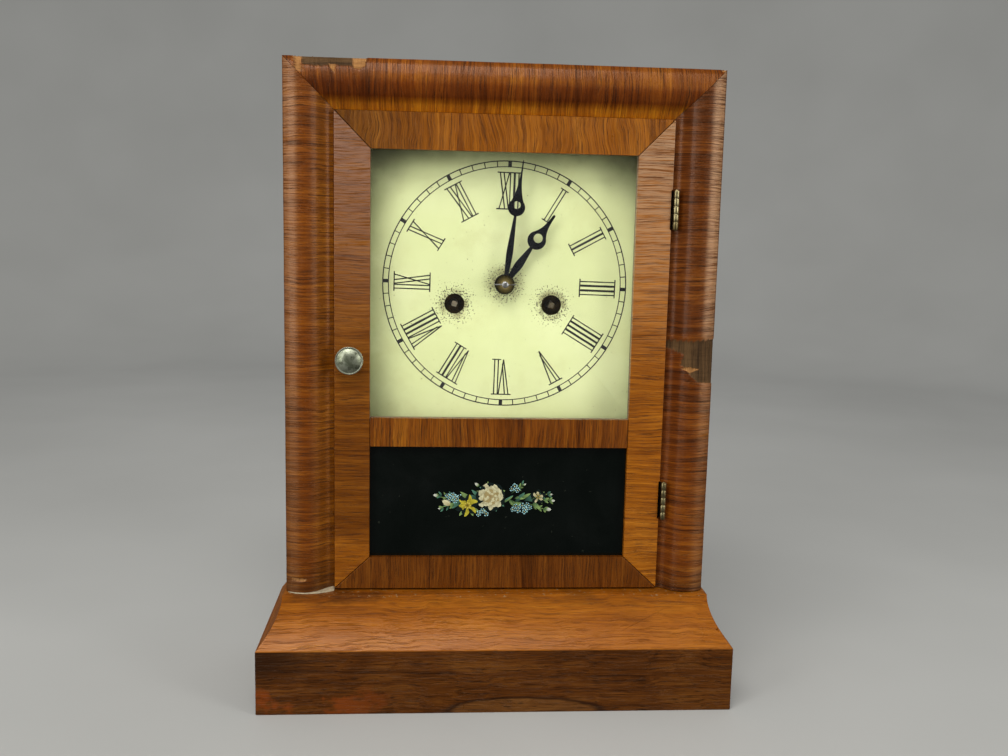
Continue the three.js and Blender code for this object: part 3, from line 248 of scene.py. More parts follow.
def lathe(profile, centre, segments=64):
    """A turned body about a line along the depth; each pair is radius, depth."""
    return skin([[P(x, depth, z) for x, z in circle(*centre, radius, segments)] for radius, depth in profile])


def upright(x, y, profile, segments=32):
    """A turned body about an upright line; each pair is radius, height."""
    return skin([[P(*spot, height) for spot in circle(x, y, radius, segments)] for radius, height in profile])


def barrel(x, y, low, high, radius, edge):
    """An upright pin or knuckle with rounded ends."""
    cut = 0.3 * edge
    profile = [(HUB, low), (radius - edge, low), (radius - cut, low + cut), (radius, low + edge)]
    profile += [(r, low + high - z) for r, z in reversed(profile)]
    return upright(x, y, profile)


def tube(points, radius, sides):
    """A round bar along points in metres, its cross-section carried round the bends without twist."""
    rings = []
    normal = None
    for i, point in enumerate(points):
        along = (points[min(i + 1, len(points) - 1)] - points[max(i - 1, 0)]).normalized()
        if normal is None:
            normal = along.orthogonal().normalized()
        normal = (normal - along * normal.dot(along)).normalized()
        across = along.cross(normal)
        size = radius(i / (len(points) - 1))
        rings.append([point + (normal * c + across * s) * size * MM for c, s in steps_round(sides)])
    return skin(rings)


def evaluated(obj):
    """A new mesh with the object's modifiers or bevels applied."""
    bpy.context.view_layer.update()
    return bpy.data.meshes.new_from_object(obj.evaluated_get(bpy.context.evaluated_depsgraph_get()))


def plate(loops, front, thickness, edge, rounds=2):
    """A flat piece with holes from closed outlines in x and z, its edges rounded."""
    curve = bpy.data.curves.new("outline", "CURVE")
    curve.dimensions = "2D"
    curve.fill_mode = "BOTH"
    curve.extrude = thickness / 2 - edge
    curve.bevel_depth = edge
    curve.bevel_resolution = rounds
    curve.offset = -edge
    for index, loop in enumerate(loops):
        points = list(loop)
        area = sum(x0 * z1 - x1 * z0 for (x0, z0), (x1, z1) in zip(points, points[1:] + points[:1]))
        if (area > 0) != (index == 0):
            points.reverse()
        spline = curve.splines.new("POLY")
        spline.points.add(len(points) - 1)
        for spot, (x, z) in zip(spline.points, points):
            spot.co = (x, z, 0.0, 1.0)
        spline.use_cyclic_u = True
    maker = linked("outline", curve)
    mesh = evaluated(maker)
    bpy.data.objects.remove(maker)
    middle = front + thickness / 2 - DEPTH_CENTRE
    mesh.transform(Matrix(((MM, 0, 0, 0), (0, 0, -MM, middle * MM), (0, MM, 0, 0), (0, 0, 0, 1))))
    return tidy(mesh, 2e-7)


def cut_out(mesh, *cutters):
    """Cuts closed shapes out of a mesh."""
    target = linked("target", mesh)
    helpers = [linked("cutter", cutter) for cutter in cutters]
    for helper in helpers:
        modifier = target.modifiers.new("cut", "BOOLEAN")
        modifier.object = helper
        modifier.operation = "DIFFERENCE"
        modifier.solver = "EXACT"
    result = evaluated(target)
    for helper in helpers + [target]:
        bpy.data.objects.remove(helper)
    return result


def finish_node(name, material, edge=0.25, segments=2):
    """A CAD node that stays: its material, and edges that catch the light."""
    obj = NODES[name]
    obj.data.materials.clear()
    obj.data.materials.append(material)
    obj.modifiers.new("weld", "WELD").merge_threshold = 2e-6
    if edge:
        soft = obj.modifiers.new("edges", "BEVEL")
        soft.width = edge * MM
        soft.segments = segments
        soft.limit_method = "ANGLE"
        soft.angle_limit = math.radians(35)
        soft.use_clamp_overlap = True


# ------------------------------------------------------------------ node helpers


class Nodes:
    """A short way to write a procedural material."""

    def __init__(self, name):
        self.material = bpy.data.materials.new(name)
        self.material.use_nodes = True
        self.tree = self.material.node_tree
        self.shader = self.tree.nodes["Principled BSDF"]
        self.coords = self.node("ShaderNodeTexCoord").outputs["Object"]

    def node(self, kind, inputs=None, **settings):
        """A new node; inputs maps a socket's name or number to a value or to another node's output."""
        made = self.tree.nodes.new(kind)
        for key, value in settings.items():
            setattr(made, key, value)
        for key, value in (inputs or {}).items():
            self.link(value, made.inputs[key])
        return made

    def link(self, value, socket):
        if isinstance(value, bpy.types.NodeSocket):
            self.tree.links.new(value, socket)
        elif isinstance(value, (tuple, list)) and len(value) == 3 and socket.type == "RGBA":
            socket.default_value = (*value, 1.0)
        else:
            socket.default_value = value

    def set(self, **values):
        for key, value in values.items():
            self.link(value, self.shader.inputs[key.replace("_", " ")])

    def place(self, scale=(1, 1, 1), shift=(0, 0, 0)):
        inputs = {"Vector": self.coords, "Scale": scale, "Location": shift}
        return self.node("ShaderNodeMapping", inputs).outputs[0]

    def noise(self, vector=None, scale=1.0, detail=3.0, rough=0.5, distortion=0.0):
        """vector is an output of coordinates, or else a shift of the object's own."""
        if not isinstance(vector, bpy.types.NodeSocket):
            vector = self.place(shift=vector or (0, 0, 0))
        inputs = {"Vector": vector, "Scale": scale, "Detail": detail, "Roughness": rough}
        return self.node("ShaderNodeTexNoise", {**inputs, "Distortion": distortion}).outputs["Fac"]

    def ramp(self, fac, *stops):
        made = self.node("ShaderNodeValToRGB", {"Fac": fac})
        elements = made.color_ramp.elements
        while len(elements) < len(stops):
            elements.new(0.5)
        for element, (place, colour) in zip(elements, stops):
            element.position = place
            element.color = (*colour, 1.0)
        return made.outputs["Color"]

    def math(self, operation, a, b, clamp=False):
        return self.node("ShaderNodeMath", {0: a, 1: b}, operation=operation, use_clamp=clamp).outputs[0]

    def product(self, first, *others):
        for other in others:
            first = self.math("MULTIPLY", first, other)
        return first

    def scaled(self, value, factor, offset, clamp=False):
        """value times factor, plus offset."""
        return self.math("ADD", self.math("MULTIPLY", value, factor), offset, clamp)

    def mix(self, fac, a, b, blend="MIX"):
        return self.node("ShaderNodeMix", {0: fac, 6: a, 7: b}, data_type="RGBA", blend_type=blend).outputs[2]

    def over(self, base, colour, *shares):
        """Lays a colour over another by the product of the shares."""
        return self.mix(self.product(*shares), base, colour)

    def range(self, value, low, high, to_low=0.0, to_high=1.0):
        inputs = {"Value": value, "From Min": low, "From Max": high, "To Min": to_low, "To Max": to_high}
        return self.node("ShaderNodeMapRange", inputs, interpolation_type="SMOOTHSTEP").outputs["Result"]

    def axes(self):
        """The object's own x, y and z, in metres."""
        return self.node("ShaderNodeSeparateXYZ", {0: self.coords}).outputs

    def around(self, x, z):
        """The distance from a line along the depth through x, z in mm, in metres."""
        inputs = {0: self.place((1, 0, 1)), 1: (x * MM, 0.0, z * MM)}
        return self.node("ShaderNodeVectorMath", inputs, operation="DISTANCE").outputs["Value"]

    def attribute(self, name):
        return self.node("ShaderNodeAttribute", attribute_name=name).outputs["Fac"]

    def bump(self, height, strength, distance, normal=None):
        inputs = {"Strength": strength, "Distance": distance, "Height": height}
        if normal is not None:
            inputs["Normal"] = normal
        return self.node("ShaderNodeBump", inputs).outputs["Normal"]


def srgb(r, g, b):
    """A colour written as it looks on screen, 0 to 255, as the linear values Blender takes."""
    shares = [v / 255.0 for v in (r, g, b)]
    return tuple(v / 12.92 if v <= 0.04045 else ((v + 0.055) / 1.055) ** 2.4 for v in shares)


def shade(colour, share):
    return tuple(c * share for c in colour)


def tones(*numbers):
    """A wood's dark, middle and light tones, as they look on screen."""
    return [srgb(*numbers[i:i + 3]) for i in (0, 3, 6)]


# ------------------------------------------------------------------ wood

# How much finer the figure is along each axis; the grain runs where it is not fine.
GRAINS = {
    "across": (1.0, 1.0, 38.0),  # across the clock and round the side mouldings
    "upright": (38.0, 1.0, 1.0),
    "long_x": (0.7, 20.0, 24.0),
    "long_y": (20.0, 0.7, 24.0),
    "long_z": (20.0, 20.0, 0.7),
}
AMBER = (1.0, 0.66, 0.42)
VENEER_COAT = 0.08


def bent_grain(n, grain, shift, wander_amount):
    """Coordinates stretched along the grain, whose lines wander a little."""
    scale = GRAINS[grain]
    amount = n.product(n.math("SUBTRACT", n.noise(shift, 26.0, 2.0), 0.5), wander_amount)
    push = n.node("ShaderNodeCombineXYZ", {0: amount, 1: amount, 2: amount}).outputs[0]
    fine_axes = tuple(1.0 if s > 5 else 0.0 for s in scale)
    inputs = {0: push, 1: fine_axes, 2: n.place(scale, shift)}
    return n.node("ShaderNodeVectorMath", inputs, operation="MULTIPLY_ADD").outputs[0]


def wood_figure(n, grain, seed, wood, streak=0.5, wander=0.16, contrast=1.0, pores=0.75):
    """The colour of a figured wood, its pores, its fine relief and its slow clouds."""
    dark, middle, light = wood
    shift = (seed * 0.37, seed * 0.21, seed * 0.53)
    line = bent_grain(n, grain, shift, wander)
    cloud = n.noise(shift, 16.0, 3.0, 0.55, 0.6)
    broad = n.noise(line, 8.0, 3.0, 0.55, 0.2)
    fine = n.noise(line, 38.0, 4.0, 0.68, 0.1)
    hair = n.noise(line, 95.0, 2.0, 0.55)
    figure = n.scaled(broad, 0.45, n.product(fine, 0.55))
    tone = n.scaled(figure, 0.74, n.product(cloud, 0.26))
    spread = 0.14 / contrast
    colour = n.ramp(tone, (0.5 - spread, dark), (0.5, middle), (0.5 + spread, light))
    streaks = n.range(n.noise(line, 13.0, 3.0, 0.6, 0.3), 0.56, 0.70)
    colour = n.over(colour, shade(dark, 0.6), streaks, streak)
    pore = n.range(n.noise(line, 52.0, 3.0, 0.75), 0.56, 0.62)
    colour = n.over(colour, shade(dark, 0.4), pore, pores)
    colour = n.over(colour, shade(middle, 0.45), n.range(hair, 0.35, 0.72, 0.0, 0.45))
    return colour, pore, n.scaled(fine, 0.5, n.product(hair, 0.5)), cloud


def varnish(n, colour, pore, fine, seed, gloss=0.26):
    """An old coat over wood: uneven gloss, tiny pits and a slow ripple."""
    shift = (seed * 0.11, seed * 0.43, seed * 0.29)
    smear = n.noise(shift, 45.0, 4.0, 0.6)
    rough = n.scaled(pore, 0.16, n.scaled(smear, 0.24, gloss - 0.06), True)
    normal = n.bump(n.noise(shift, 60.0, 2.0), 0.12, 0.0005)
    normal = n.bump(n.math("SUBTRACT", fine, n.product(pore, 0.5)), 0.6, 0.00045, normal)
    n.set(Base_Color=colour, Roughness=rough, Normal=normal, Specular_Tint=AMBER)
    n.set(Coat_Weight=VENEER_COAT, Coat_Roughness=0.16)
    return rough


def tinted(n, colour, axis, *stops):
    """Multiplies by tones along an axis, or along W across a moulding; each stop is mm, red, green, blue."""
    low, high = stops[0][0], stops[-1][0]
    value = n.attribute("across") if axis == "W" else n.axes()["XYZ".index(axis)]
    inputs = {"Value": value, "From Min": low * MM, "From Max": high * MM}
    share = n.node("ShaderNodeMapRange", inputs, clamp=True).outputs["Result"]
    tints = n.ramp(share, *[((at - low) / (high - low), tone) for at, *tone in stops])
    return n.mix(1.0, colour, tints, "MULTIPLY")


def paint_sheen(n, colour, fine, on_round, tint, low, high, *shares):
    """A pale tone painted over the colour as a sheen that stands for reflected light; it changes its strength
    with height and is broken up by the grain.
    """
    parts = [n.range(n.axes()[2], low * MM, high * MM, *shares), n.range(fine, 0.42, 0.54, 0.1, 1.0)]
    if on_round:
        across = n.attribute("across")
        parts += [n.range(across, 10.0 * MM, 6.0 * MM), n.range(across, 0.2 * MM, 1.5 * MM, 0.3, 1.0)]
    return n.over(colour, srgb(*tint), *parts)


CORE_WOOD = tones(46, 30, 16, 92, 66, 38, 122, 92, 58)
FRESH_WOOD = tones(140, 92, 46, 180, 126, 70, 206, 152, 94)


def veneer(name, grain, seed, wood, *tints, gloss=0.26, streak=0.5, wander=0.16, contrast=1.0, worn=False,
           painted_sheen=None):
    """Varnished veneer; a worn piece also shows bare and stripped wood where its mesh says so."""
    n = Nodes("veneer_" + name)
    colour, pore, fine, _ = wood_figure(n, grain, seed, wood, streak, wander, contrast)
    for axis, *stops in tints:
        colour = tinted(n, colour, axis, *stops)
    # a pale tone painted over the veneer as a sheen of reflected light
    if painted_sheen:
        colour = paint_sheen(n, colour, fine, worn, *painted_sheen)
    rough = varnish(n, colour, pore, fine, seed, gloss)
    if worn:
        other = "upright" if grain == "across" else "across"
        core = wood_figure(n, other, seed + 3, CORE_WOOD, 0.5, 0.1)[0]
        fresh = wood_figure(n, other, seed + 5, FRESH_WOOD, 0.0)[0]
        stripped, bare = n.attribute("stripped"), n.attribute("bare")
        gone = n.math("MAXIMUM", stripped, bare)
        n.set(Base_Color=n.mix(bare, n.mix(stripped, colour, core), fresh))
        n.set(Roughness=n.scaled(gone, 0.35, rough, True))
        n.set(Coat_Weight=n.product(n.math("SUBTRACT", 1.0, gone), VENEER_COAT))
    return n.material


def plain_wood(name, grain, seed, wood, rough):
    """Planed softwood with grime in its hollows."""
    n = Nodes(name)
    colour, pore, fine, cloud = wood_figure(n, grain, seed, wood, 0.25, 0.2, 0.8)
    grime = n.range(n.noise((seed, 0, 0), 22.0, 5.0, 0.65), 0.48, 0.72)
    saw = n.noise(n.place((300, 300, 60 if grain == "long_z" else 40)), 1.0, 2.0)
    normal = n.bump(saw, 0.12, 0.0001, n.bump(n.math("SUBTRACT", fine, pore), 0.35, 0.0002))
    n.set(Base_Color=n.over(colour, shade(wood[0], 0.5), grime, 0.3), Normal=normal)
    n.set(Roughness=n.scaled(cloud, 0.25, rough - 0.1, True))
    return n.material


def metal(name, colour, dark, rough, seed, spots=0.35, black_left_of=None):
    """Old metal: a clear tone with dull clouds, darker stains and fine scratches."""
    n = Nodes(name)
    colour, dark = srgb(*colour), srgb(*dark)
    shift = (seed * 0.31, seed * 0.17, seed * 0.47)
    cloud = n.noise(shift, 90.0, 5.0, 0.65, 0.4)
    stain = n.range(n.noise(shift, 240.0, 5.0, 0.7), 0.52, 0.68)
    tone = n.over(colour, dark, n.range(cloud, 0.34, 0.66))
    tone = n.over(tone, shade(dark, 0.35), stain, spots)
    if black_left_of is not None:
        shadow = n.range(n.axes()[0], black_left_of * MM, (black_left_of - 0.5) * MM)
        tone = n.over(tone, shade(dark, 0.08), shadow)
    scratches = n.noise(n.place((60, 60, 900)), 6.0, 2.0)
    uneven = n.scaled(stain, 0.2, n.scaled(cloud, 0.3, rough - 0.12), True)
    normal = n.bump(cloud, 0.10, 0.00015, n.bump(scratches, 0.10, 0.00004))
    n.set(Base_Color=tone, Metallic=1.0, Roughness=uneven, Normal=normal)
    return n.material


ORANGE = tones(92, 40, 4, 154, 88, 14, 190, 120, 34)
LEFT_WOOD = tones(70, 30, 2, 128, 66, 8, 164, 96, 20)
TOP_WOOD = tones(66, 25, 2, 132, 68, 8, 172, 104, 22)
RIGHT_WOOD = tones(60, 24, 2, 118, 58, 7, 156, 90, 22)
DARK_RAIL = tones(58, 24, 2, 112, 57, 7, 142, 82, 18)
SLOPE_WOOD = tones(112, 50, 6, 168, 94, 16, 196, 122, 30)
PLINTH_WOOD = tones(46, 20, 4, 94, 49, 10, 124, 74, 24)
SAPWOOD = tones(70, 38, 14, 108, 64, 24, 130, 84, 38)
# the side mouldings grow darker towards their foot
FOOT_DARKENING = ("Z", (71, 0.5, 0.55, 0.6), (79, 0.8, 0.84, 0.85), (92, 1.0, 1.0, 1.0), (396, 1.0, 1.0, 1.0))
SIDE_MOULDING = {"streak": 0.55, "gloss": 0.3, "contrast": 1.25, "worn": True}

WOODS = {
    "moulding_left": veneer(
        "left_moulding", "across", 1.3, LEFT_WOOD, FOOT_DARKENING,
        # painted light and shade across the profile: paler on the outer round and the inner edge, darker in
        # the hollow
        ("W", (0, 0.9, 0.95, 0.9), (8, 1.0, 1.0, 0.8), (11, 0.98, 0.88, 0.6), (16, 0.92, 0.82, 0.6),
         (19.5, 1.15, 1.22, 0.8), (29.5, 1.15, 1.25, 0.9)),
        # a painted sheen: a pale tone on the outer round that stands for reflected light
        painted_sheen=((204, 150, 108), 90, 390, 0.1, 0.5), **SIDE_MOULDING),
    "moulding_top": veneer(
        "top_moulding", "upright", 2.9, TOP_WOOD,
        ("X", (-132, 0.85, 0.8, 0.8), (-84, 0.86, 0.82, 0.8), (-79, 1.1, 1.1, 1.0), (40, 1.0, 1.0, 1.0),
         (132, 0.85, 0.8, 0.9)),
        # painted light and shade across the profile: a painted reflection makes the inner edge much paler,
        # and the hollow is darker
        ("W", (0, 1.0, 0.95, 0.8), (11, 1.08, 1.05, 0.8), (14.5, 0.84, 0.66, 0.5), (21.5, 0.84, 0.64, 0.5),
         (25.5, 1.9, 2.2, 1.0), (29.5, 2.0, 2.3, 1.0)),
        gloss=0.3, streak=0.4, worn=True),
    "moulding_right": veneer(
        "right_moulding", "across", 4.1, RIGHT_WOOD, FOOT_DARKENING,
        # painted light and shade across the profile: paler on the outer round, darker in the hollow and
        # towards the inner edge
        ("W", (0, 0.9, 0.95, 0.9), (8.5, 1.05, 1.05, 0.9), (11.5, 0.94, 0.86, 0.6), (16, 0.94, 0.86, 0.6),
         (20, 0.9, 0.8, 0.6), (29.5, 0.92, 0.82, 0.6)),
        ("Z", (71, 1.1, 1.1, 1.0), (228, 1.1, 1.1, 1.0), (236, 0.86, 0.86, 1.1), (396, 0.86, 0.9, 1.6)),
        # a painted sheen: a pale tone on the outer round that stands for reflected light
        painted_sheen=((208, 160, 116), 140, 300, 0.12, 0.68), **SIDE_MOULDING),
    "rail_top": veneer(
        "top_rail", "upright", 5.7, ORANGE,
        ("X", (-102, 0.6, 0.66, 1.3), (-70, 0.75, 0.76, 1.0), (-35, 1.0, 0.96, 0.9), (102, 1.0, 0.96, 0.92)),
        streak=0.35, wander=0.6),
    "stile_left": veneer(
        "left_stile", "across", 6.3, ORANGE,
        ("Z", (72, 1.3, 1.3, 1.0), (96, 1.1, 1.05, 0.8), (114, 0.62, 0.56, 0.4), (180, 0.66, 0.6, 0.5),
         (280, 0.84, 0.84, 1.0), (366, 0.74, 0.74, 1.0)),
        # a painted sheen: a pale tone on the upper stile that stands for reflected light
        painted_sheen=((164, 128, 110), 210, 366, 0.0, 0.62)),
    "stile_right": veneer(
        "right_stile", "across", 7.9, ORANGE,
        ("Z", (72, 1.1, 1.05, 0.8), (150, 1.25, 1.2, 0.9), (215, 1.05, 0.98, 0.8), (290, 1.3, 1.3, 1.2),
         (366, 1.0, 1.0, 1.0)),
        # a painted sheen: a pale tone on the upper stile that stands for reflected light
        streak=0.35, painted_sheen=((196, 158, 122), 200, 350, 0.0, 0.7)),
    "rail_middle": veneer("middle_rail", "upright", 8.8, TOP_WOOD, streak=0.4),
    "rail_bottom": veneer("bottom_rail", "upright", 9.4, DARK_RAIL, streak=0.3, contrast=0.9),
}

OVAL = (0.019, 0.047, 0.0098)  # where the sapwood's oval stands on the plinth, its half width and height, m


def base_veneer(name, grain, seed):
    """The base changes from a reddish slope to a browner plinth at the arris between them."""
    n = Nodes("veneer_base_" + name)
    upper, pore, fine, _ = wood_figure(n, grain, seed, SLOPE_WOOD, 0.12, 0.14, 0.75, 0.42)
    lower = wood_figure(n, grain, seed + 2, PLINTH_WOOD, 0.4, 0.2)[0]
    x, _, z = n.axes()
    if grain == "long_x":
        # an oval of paler sapwood with a dark rim reaches up from the foot of the plinth
        wobble = n.math("SUBTRACT", n.noise(n.place((30, 30, 90)), 1.0, 2.0), 0.5)
        sideways = n.math("DIVIDE", n.math("SUBTRACT", x, OVAL[0]), OVAL[1])
        oval = n.node("ShaderNodeCombineXYZ", {0: sideways, 1: n.math("DIVIDE", z, OVAL[2])}).outputs[0]
        length = n.node("ShaderNodeVectorMath", {0: oval}, operation="LENGTH").outputs["Value"]
        reach = n.scaled(wobble, 0.5, length)
        pale = wood_figure(n, grain, seed + 7, SAPWOOD, 0.2)[0]
        lower = n.over(lower, pale, n.range(reach, 1.02, 0.94))
        lower = n.over(lower, srgb(34, 16, 8), n.range(reach, 0.86, 1.0), n.range(reach, 1.14, 1.0), 0.75)
        # the veneer's left end is redder low down and almost black above
        blotch = n.range(n.noise(n.place((1, 1, 1.6), (7, 0, 0)), 40.0, 4.0, 0.65), 0.46, 0.6)
        red = (n.range(z, 0.022, 0.012), blotch, n.range(x, -0.03, -0.12), 0.75)
        lower = n.over(lower, srgb(138, 62, 14), *red)
        lower = n.over(lower, srgb(34, 18, 8), n.range(z, 0.018, 0.032), n.range(x, -0.10, -0.14), 0.7)
        # dirt lies in patches along the foot of the case, darkest under the left moulding
        patch = n.range(n.noise(n.place((1, 1, 4), (3, 0, 0)), 32.0, 4.0, 0.65), 0.42, 0.64)
        dirt = (patch, n.range(z, 0.060, 0.070), n.range(x, -0.03, -0.10, 0.35, 0.75))
        upper = n.over(upper, srgb(58, 28, 8), *dirt)
    colour = n.over(lower, upper, n.range(z, (PLINTH_HEIGHT - 0.5) * MM, (PLINTH_HEIGHT + 0.3) * MM))
    # worn pale specks along the top back edge of the slope
    speck = n.range(n.noise((0.3, 0, 0), 420.0, 3.0, 0.6), 0.62, 0.67)
    edge = n.range(z, (BASE_TOP - 2.4) * MM, (BASE_TOP - 0.6) * MM)
    varnish(n, n.over(colour, srgb(170, 140, 100), speck, edge, 0.8), pore, fine, seed)
    return n.material


WOODS["base_front"] = base_veneer("front", "long_x", 3.3)
WOODS["base_side"] = base_veneer("side", "long_y", 12.1)

PINE_SIDE = plain_wood("pine_sides", "long_z", 14.0, tones(70, 44, 24, 112, 76, 44, 138, 100, 62), 0.6)
PINE_TOP = plain_wood("pine_top", "long_x", 15.0, tones(70, 46, 28, 108, 76, 48, 132, 98, 64), 0.65)
PINE_BACK = plain_wood("pine_back", "long_z", 16.0, tones(96, 66, 38, 142, 106, 66, 172, 136, 92), 0.75)
PINE_INSIDE = plain_wood("pine_inside", "long_x", 17.0, tones(84, 58, 34, 126, 94, 60, 154, 122, 84), 0.75)
BRASS = metal("old_brass", (176, 138, 70), (122, 92, 46), 0.34, 1.0)
HINGE_BRASS = metal("hinge_brass", (206, 192, 142), (140, 124, 82), 0.36, 2.0, 0.5, 103.1)
STEEL = metal("grey_steel", (150, 150, 148), (96, 94, 90), 0.36, 4.0)
BLACK_STEEL = metal("blackened_steel", (40, 42, 48), (18, 19, 22), 0.40, 5.0, 0.2)
SPRING_STEEL = metal("spring_steel", (78, 78, 82), (42, 38, 36), 0.38, 6.0)
IRON = metal("cast_iron", (70, 64, 60), (38, 34, 30), 0.55, 7.0, 0.5)
ARBOR_STEEL = metal("arbor_steel", (168, 168, 164), (110, 108, 104), 0.32, 8.0)
WINDING_STEEL = metal("winding_steel", (176, 164, 140), (110, 100, 80), 0.45, 9.0)
DARK_BRASS = metal("dull_brass", (108, 86, 46), (62, 48, 26), 0.5, 9.0, 0.5)


WASHER_RIM = 0.0062  # metres


def washer_brass():
    """Brass painted bright round the arbor as a highlight, darkening to nearly black at the rim as painted
    shade.
    """
    n = Nodes("washer_brass")
    cloud = n.noise(None, 420.0, 4.0, 0.65)
    reach = n.scaled(n.math("SUBTRACT", cloud, 0.5), 0.0016, n.around(*DIAL))
    # the ramp paints a highlight near the arbor and shade towards the rim
    tone = n.ramp(n.product(reach, 1 / WASHER_RIM), (0.35, srgb(206, 184, 116)), (0.55, srgb(138, 120, 64)),
                  (0.78, srgb(78, 68, 34)), (0.95, srgb(30, 26, 14)))
    n.set(Base_Color=tone, Metallic=1.0, Roughness=n.scaled(cloud, 0.3, 0.16))
    n.set(Normal=n.bump(cloud, 0.2, 0.00012))
    return n.material


def pewter():
    """Dull grey metal, bright at the knob's rim and dirty elsewhere."""
    n = Nodes("pewter_knob")
    cloud = n.noise(None, 150.0, 5.0, 0.65, 0.5)
    dirt = n.range(n.noise((3, 0, 0), 320.0, 4.0, 0.65), 0.5, 0.64)
    tone = n.ramp(cloud, (0.34, srgb(118, 122, 96)), (0.52, srgb(160, 166, 138)), (0.66, srgb(196, 200, 174)))
    tone = n.over(tone, srgb(62, 62, 42), dirt, 0.55)
    tone = n.over(tone, srgb(190, 192, 172), n.range(n.around(*KNOB), 0.0068, 0.0078), 0.55)
    n.set(Base_Color=tone, Metallic=0.85, Roughness=n.scaled(cloud, 0.35, 0.2))
    n.set(Normal=n.bump(cloud, 0.3, 0.0003))
    return n.material


def window_glass():
    """Clear old glass with a slight film, which lets light through unbent for shadows."""
    n = Nodes("window_glass")
    n.set(Base_Color=(1.0, 1.0, 1.0), Transmission_Weight=1.0, IOR=1.46)
    n.set(Roughness=n.range(n.noise(None, 14.0, 4.0, 0.6), 0.45, 0.8, 0.0, 0.05))
    n.set(Normal=n.bump(n.noise(n.place((1, 1, 0.6)), 16.0, 1.0, 0.4), 0.06, 0.0006))
    shadow = n.node("ShaderNodeLightPath").outputs["Is Shadow Ray"]
    clear = n.node("ShaderNodeBsdfTransparent").outputs[0]
    mixed = n.node("ShaderNodeMixShader", {0: shadow, 1: n.shader.outputs[0], 2: clear})
    n.link(mixed.outputs[0], n.tree.nodes["Material Output"].inputs["Surface"])
    return n.material


def dial_paint():
    """Cream enamel gone yellow, with grime round the holes, grime and a painted shadow in the corners,
    heaviest at the top, and painted shade along the left and top edges.
    """
    n = Nodes("dial_paint")
    tone = n.ramp(n.noise(None, 12.0, 4.0, 0.55), (0.3, srgb(204, 210, 150)), (0.5, srgb(213, 220, 160)),
                  (0.7, srgb(220, 226, 170)))
    fine = n.noise((1, 2, 3), 130.0, 5.0, 0.7)
    tone = n.over(tone, srgb(184, 180, 116), n.range(n.noise((5, 2, 3), 30.0, 5.0, 0.65), 0.5, 0.68), 0.2)
    splatter = n.noise((4, 4, 4), 950.0, 1.0)
    for place, inner, outer, share in ((WINDING[0], 0.0063, 0.0115, 0.75), (WINDING[1], 0.0063, 0.0115, 0.75),
                                       (DIAL, 0.006, 0.015, 0.6)):
        distance = n.around(*place)
        smudge = (n.range(distance, outer, inner), n.range(fine, 0.36, 0.62), share)
        tone = n.over(tone, srgb(118, 106, 56), *smudge)
        dots = n.math("GREATER_THAN", splatter, n.range(distance, 0.020, inner, 0.77, 0.55))
        tone = n.over(tone, srgb(48, 40, 20), dots, 0.85)
    sideways, _, height = n.axes()
    uneven = n.noise(None, 26.0, 5.0, 0.65)
    # painted shade darkens the dial along its left edge
    left_edge_painted_shade = (n.range(sideways, -0.064, -0.084), n.range(uneven, 0.3, 0.6, 0.3, 0.55))
    # grime and a painted shadow of the door's frame darken the corners, most at the top
    corner_grime_and_painted_shadow = (n.range(n.around(*DIAL), 0.080, 0.118), n.range(height, 0.20, 0.31, 0.42, 1.0),
               n.range(uneven, 0.30, 0.62, 0.6, 1.0), 0.95)
    # a painted shadow darkens a band along the top of the dial, under the door's top rail
    top_edge_painted_shadow = (n.range(height, 0.331, 0.346), n.range(uneven, 0.3, 0.6, 0.5, 0.8), 0.8)
    specks = (n.range(n.noise((9, 4, 1), 420.0, 2.0), 0.725, 0.75), 0.6)
    # the colours of the left edge's painted shade, the corners' grime and painted shadow, the top's painted
    # shadow and the specks
    for colour, shares in (((112, 118, 62), left_edge_painted_shade), ((72, 74, 34), corner_grime_and_painted_shadow), ((84, 84, 44), top_edge_painted_shadow),
                           ((92, 80, 44), specks)):
        tone = n.over(tone, srgb(*colour), *shares)
    n.set(Base_Color=tone, Roughness=n.scaled(fine, 0.2, 0.35))
    n.set(Normal=n.bump(n.noise(None, 220.0, 3.0, 0.6), 0.12, 0.0001))
    return n.material


def plain(name, colour, rough, scale, relief):
    """A plain finish with a slight change of tone and gloss over it."""
    n = Nodes(name)
    cloud = n.noise(None, scale, 4.0, 0.6)
    tone = n.ramp(cloud, (0.3, shade(srgb(*colour), 0.7)), (0.7, shade(srgb(*colour), 1.3)))
    n.set(Base_Color=tone, Roughness=n.scaled(cloud, 0.2, rough - 0.1), Normal=n.bump(cloud, relief, 0.0001))
    return n.material


def black_tablet():
    """Glass painted black behind: deep and glossy, with a film of dust and small flakes missing."""
    n = Nodes("black_tablet")
    dust = n.noise(None, 20.0, 5.0, 0.65, 0.4)
    tone = n.ramp(dust, (0.35, srgb(4, 8, 5)), (0.7, srgb(10, 15, 11)))
    tone = n.over(tone, srgb(70, 74, 60), n.range(n.noise((2, 2, 2), 300.0, 2.0), 0.71, 0.74), 0.25)
    n.set(Base_Color=tone, Roughness=n.range(dust, 0.3, 0.8, 0.10, 0.32))
    n.set(Normal=n.bump(n.noise(None, 22.0, 1.0, 0.4), 0.05, 0.0005))
    return n.material


PUTTY = plain("grey_putty", (126, 118, 100), 0.75, 120.0, 0.4)
FILLER = plain("pale_filler", (176, 160, 130), 0.85, 420.0, 0.5)
INK = plain("black_ink", (10, 10, 8), 0.6, 300.0, 0.1)


# ------------------------------------------------------------------ case mouldings


def smooth(x, low, high):
    """Rises smoothly from 0 at low to 1 at high."""
    t = min(1.0, max(0.0, (x - low) / (high - low)))
    return t * t * (3 - 2 * t)


def ripple(x, y, z, scale):
    """Slow noise at a place in mm."""
    return noise.noise(Vector((x * scale, y * scale, z * scale)))


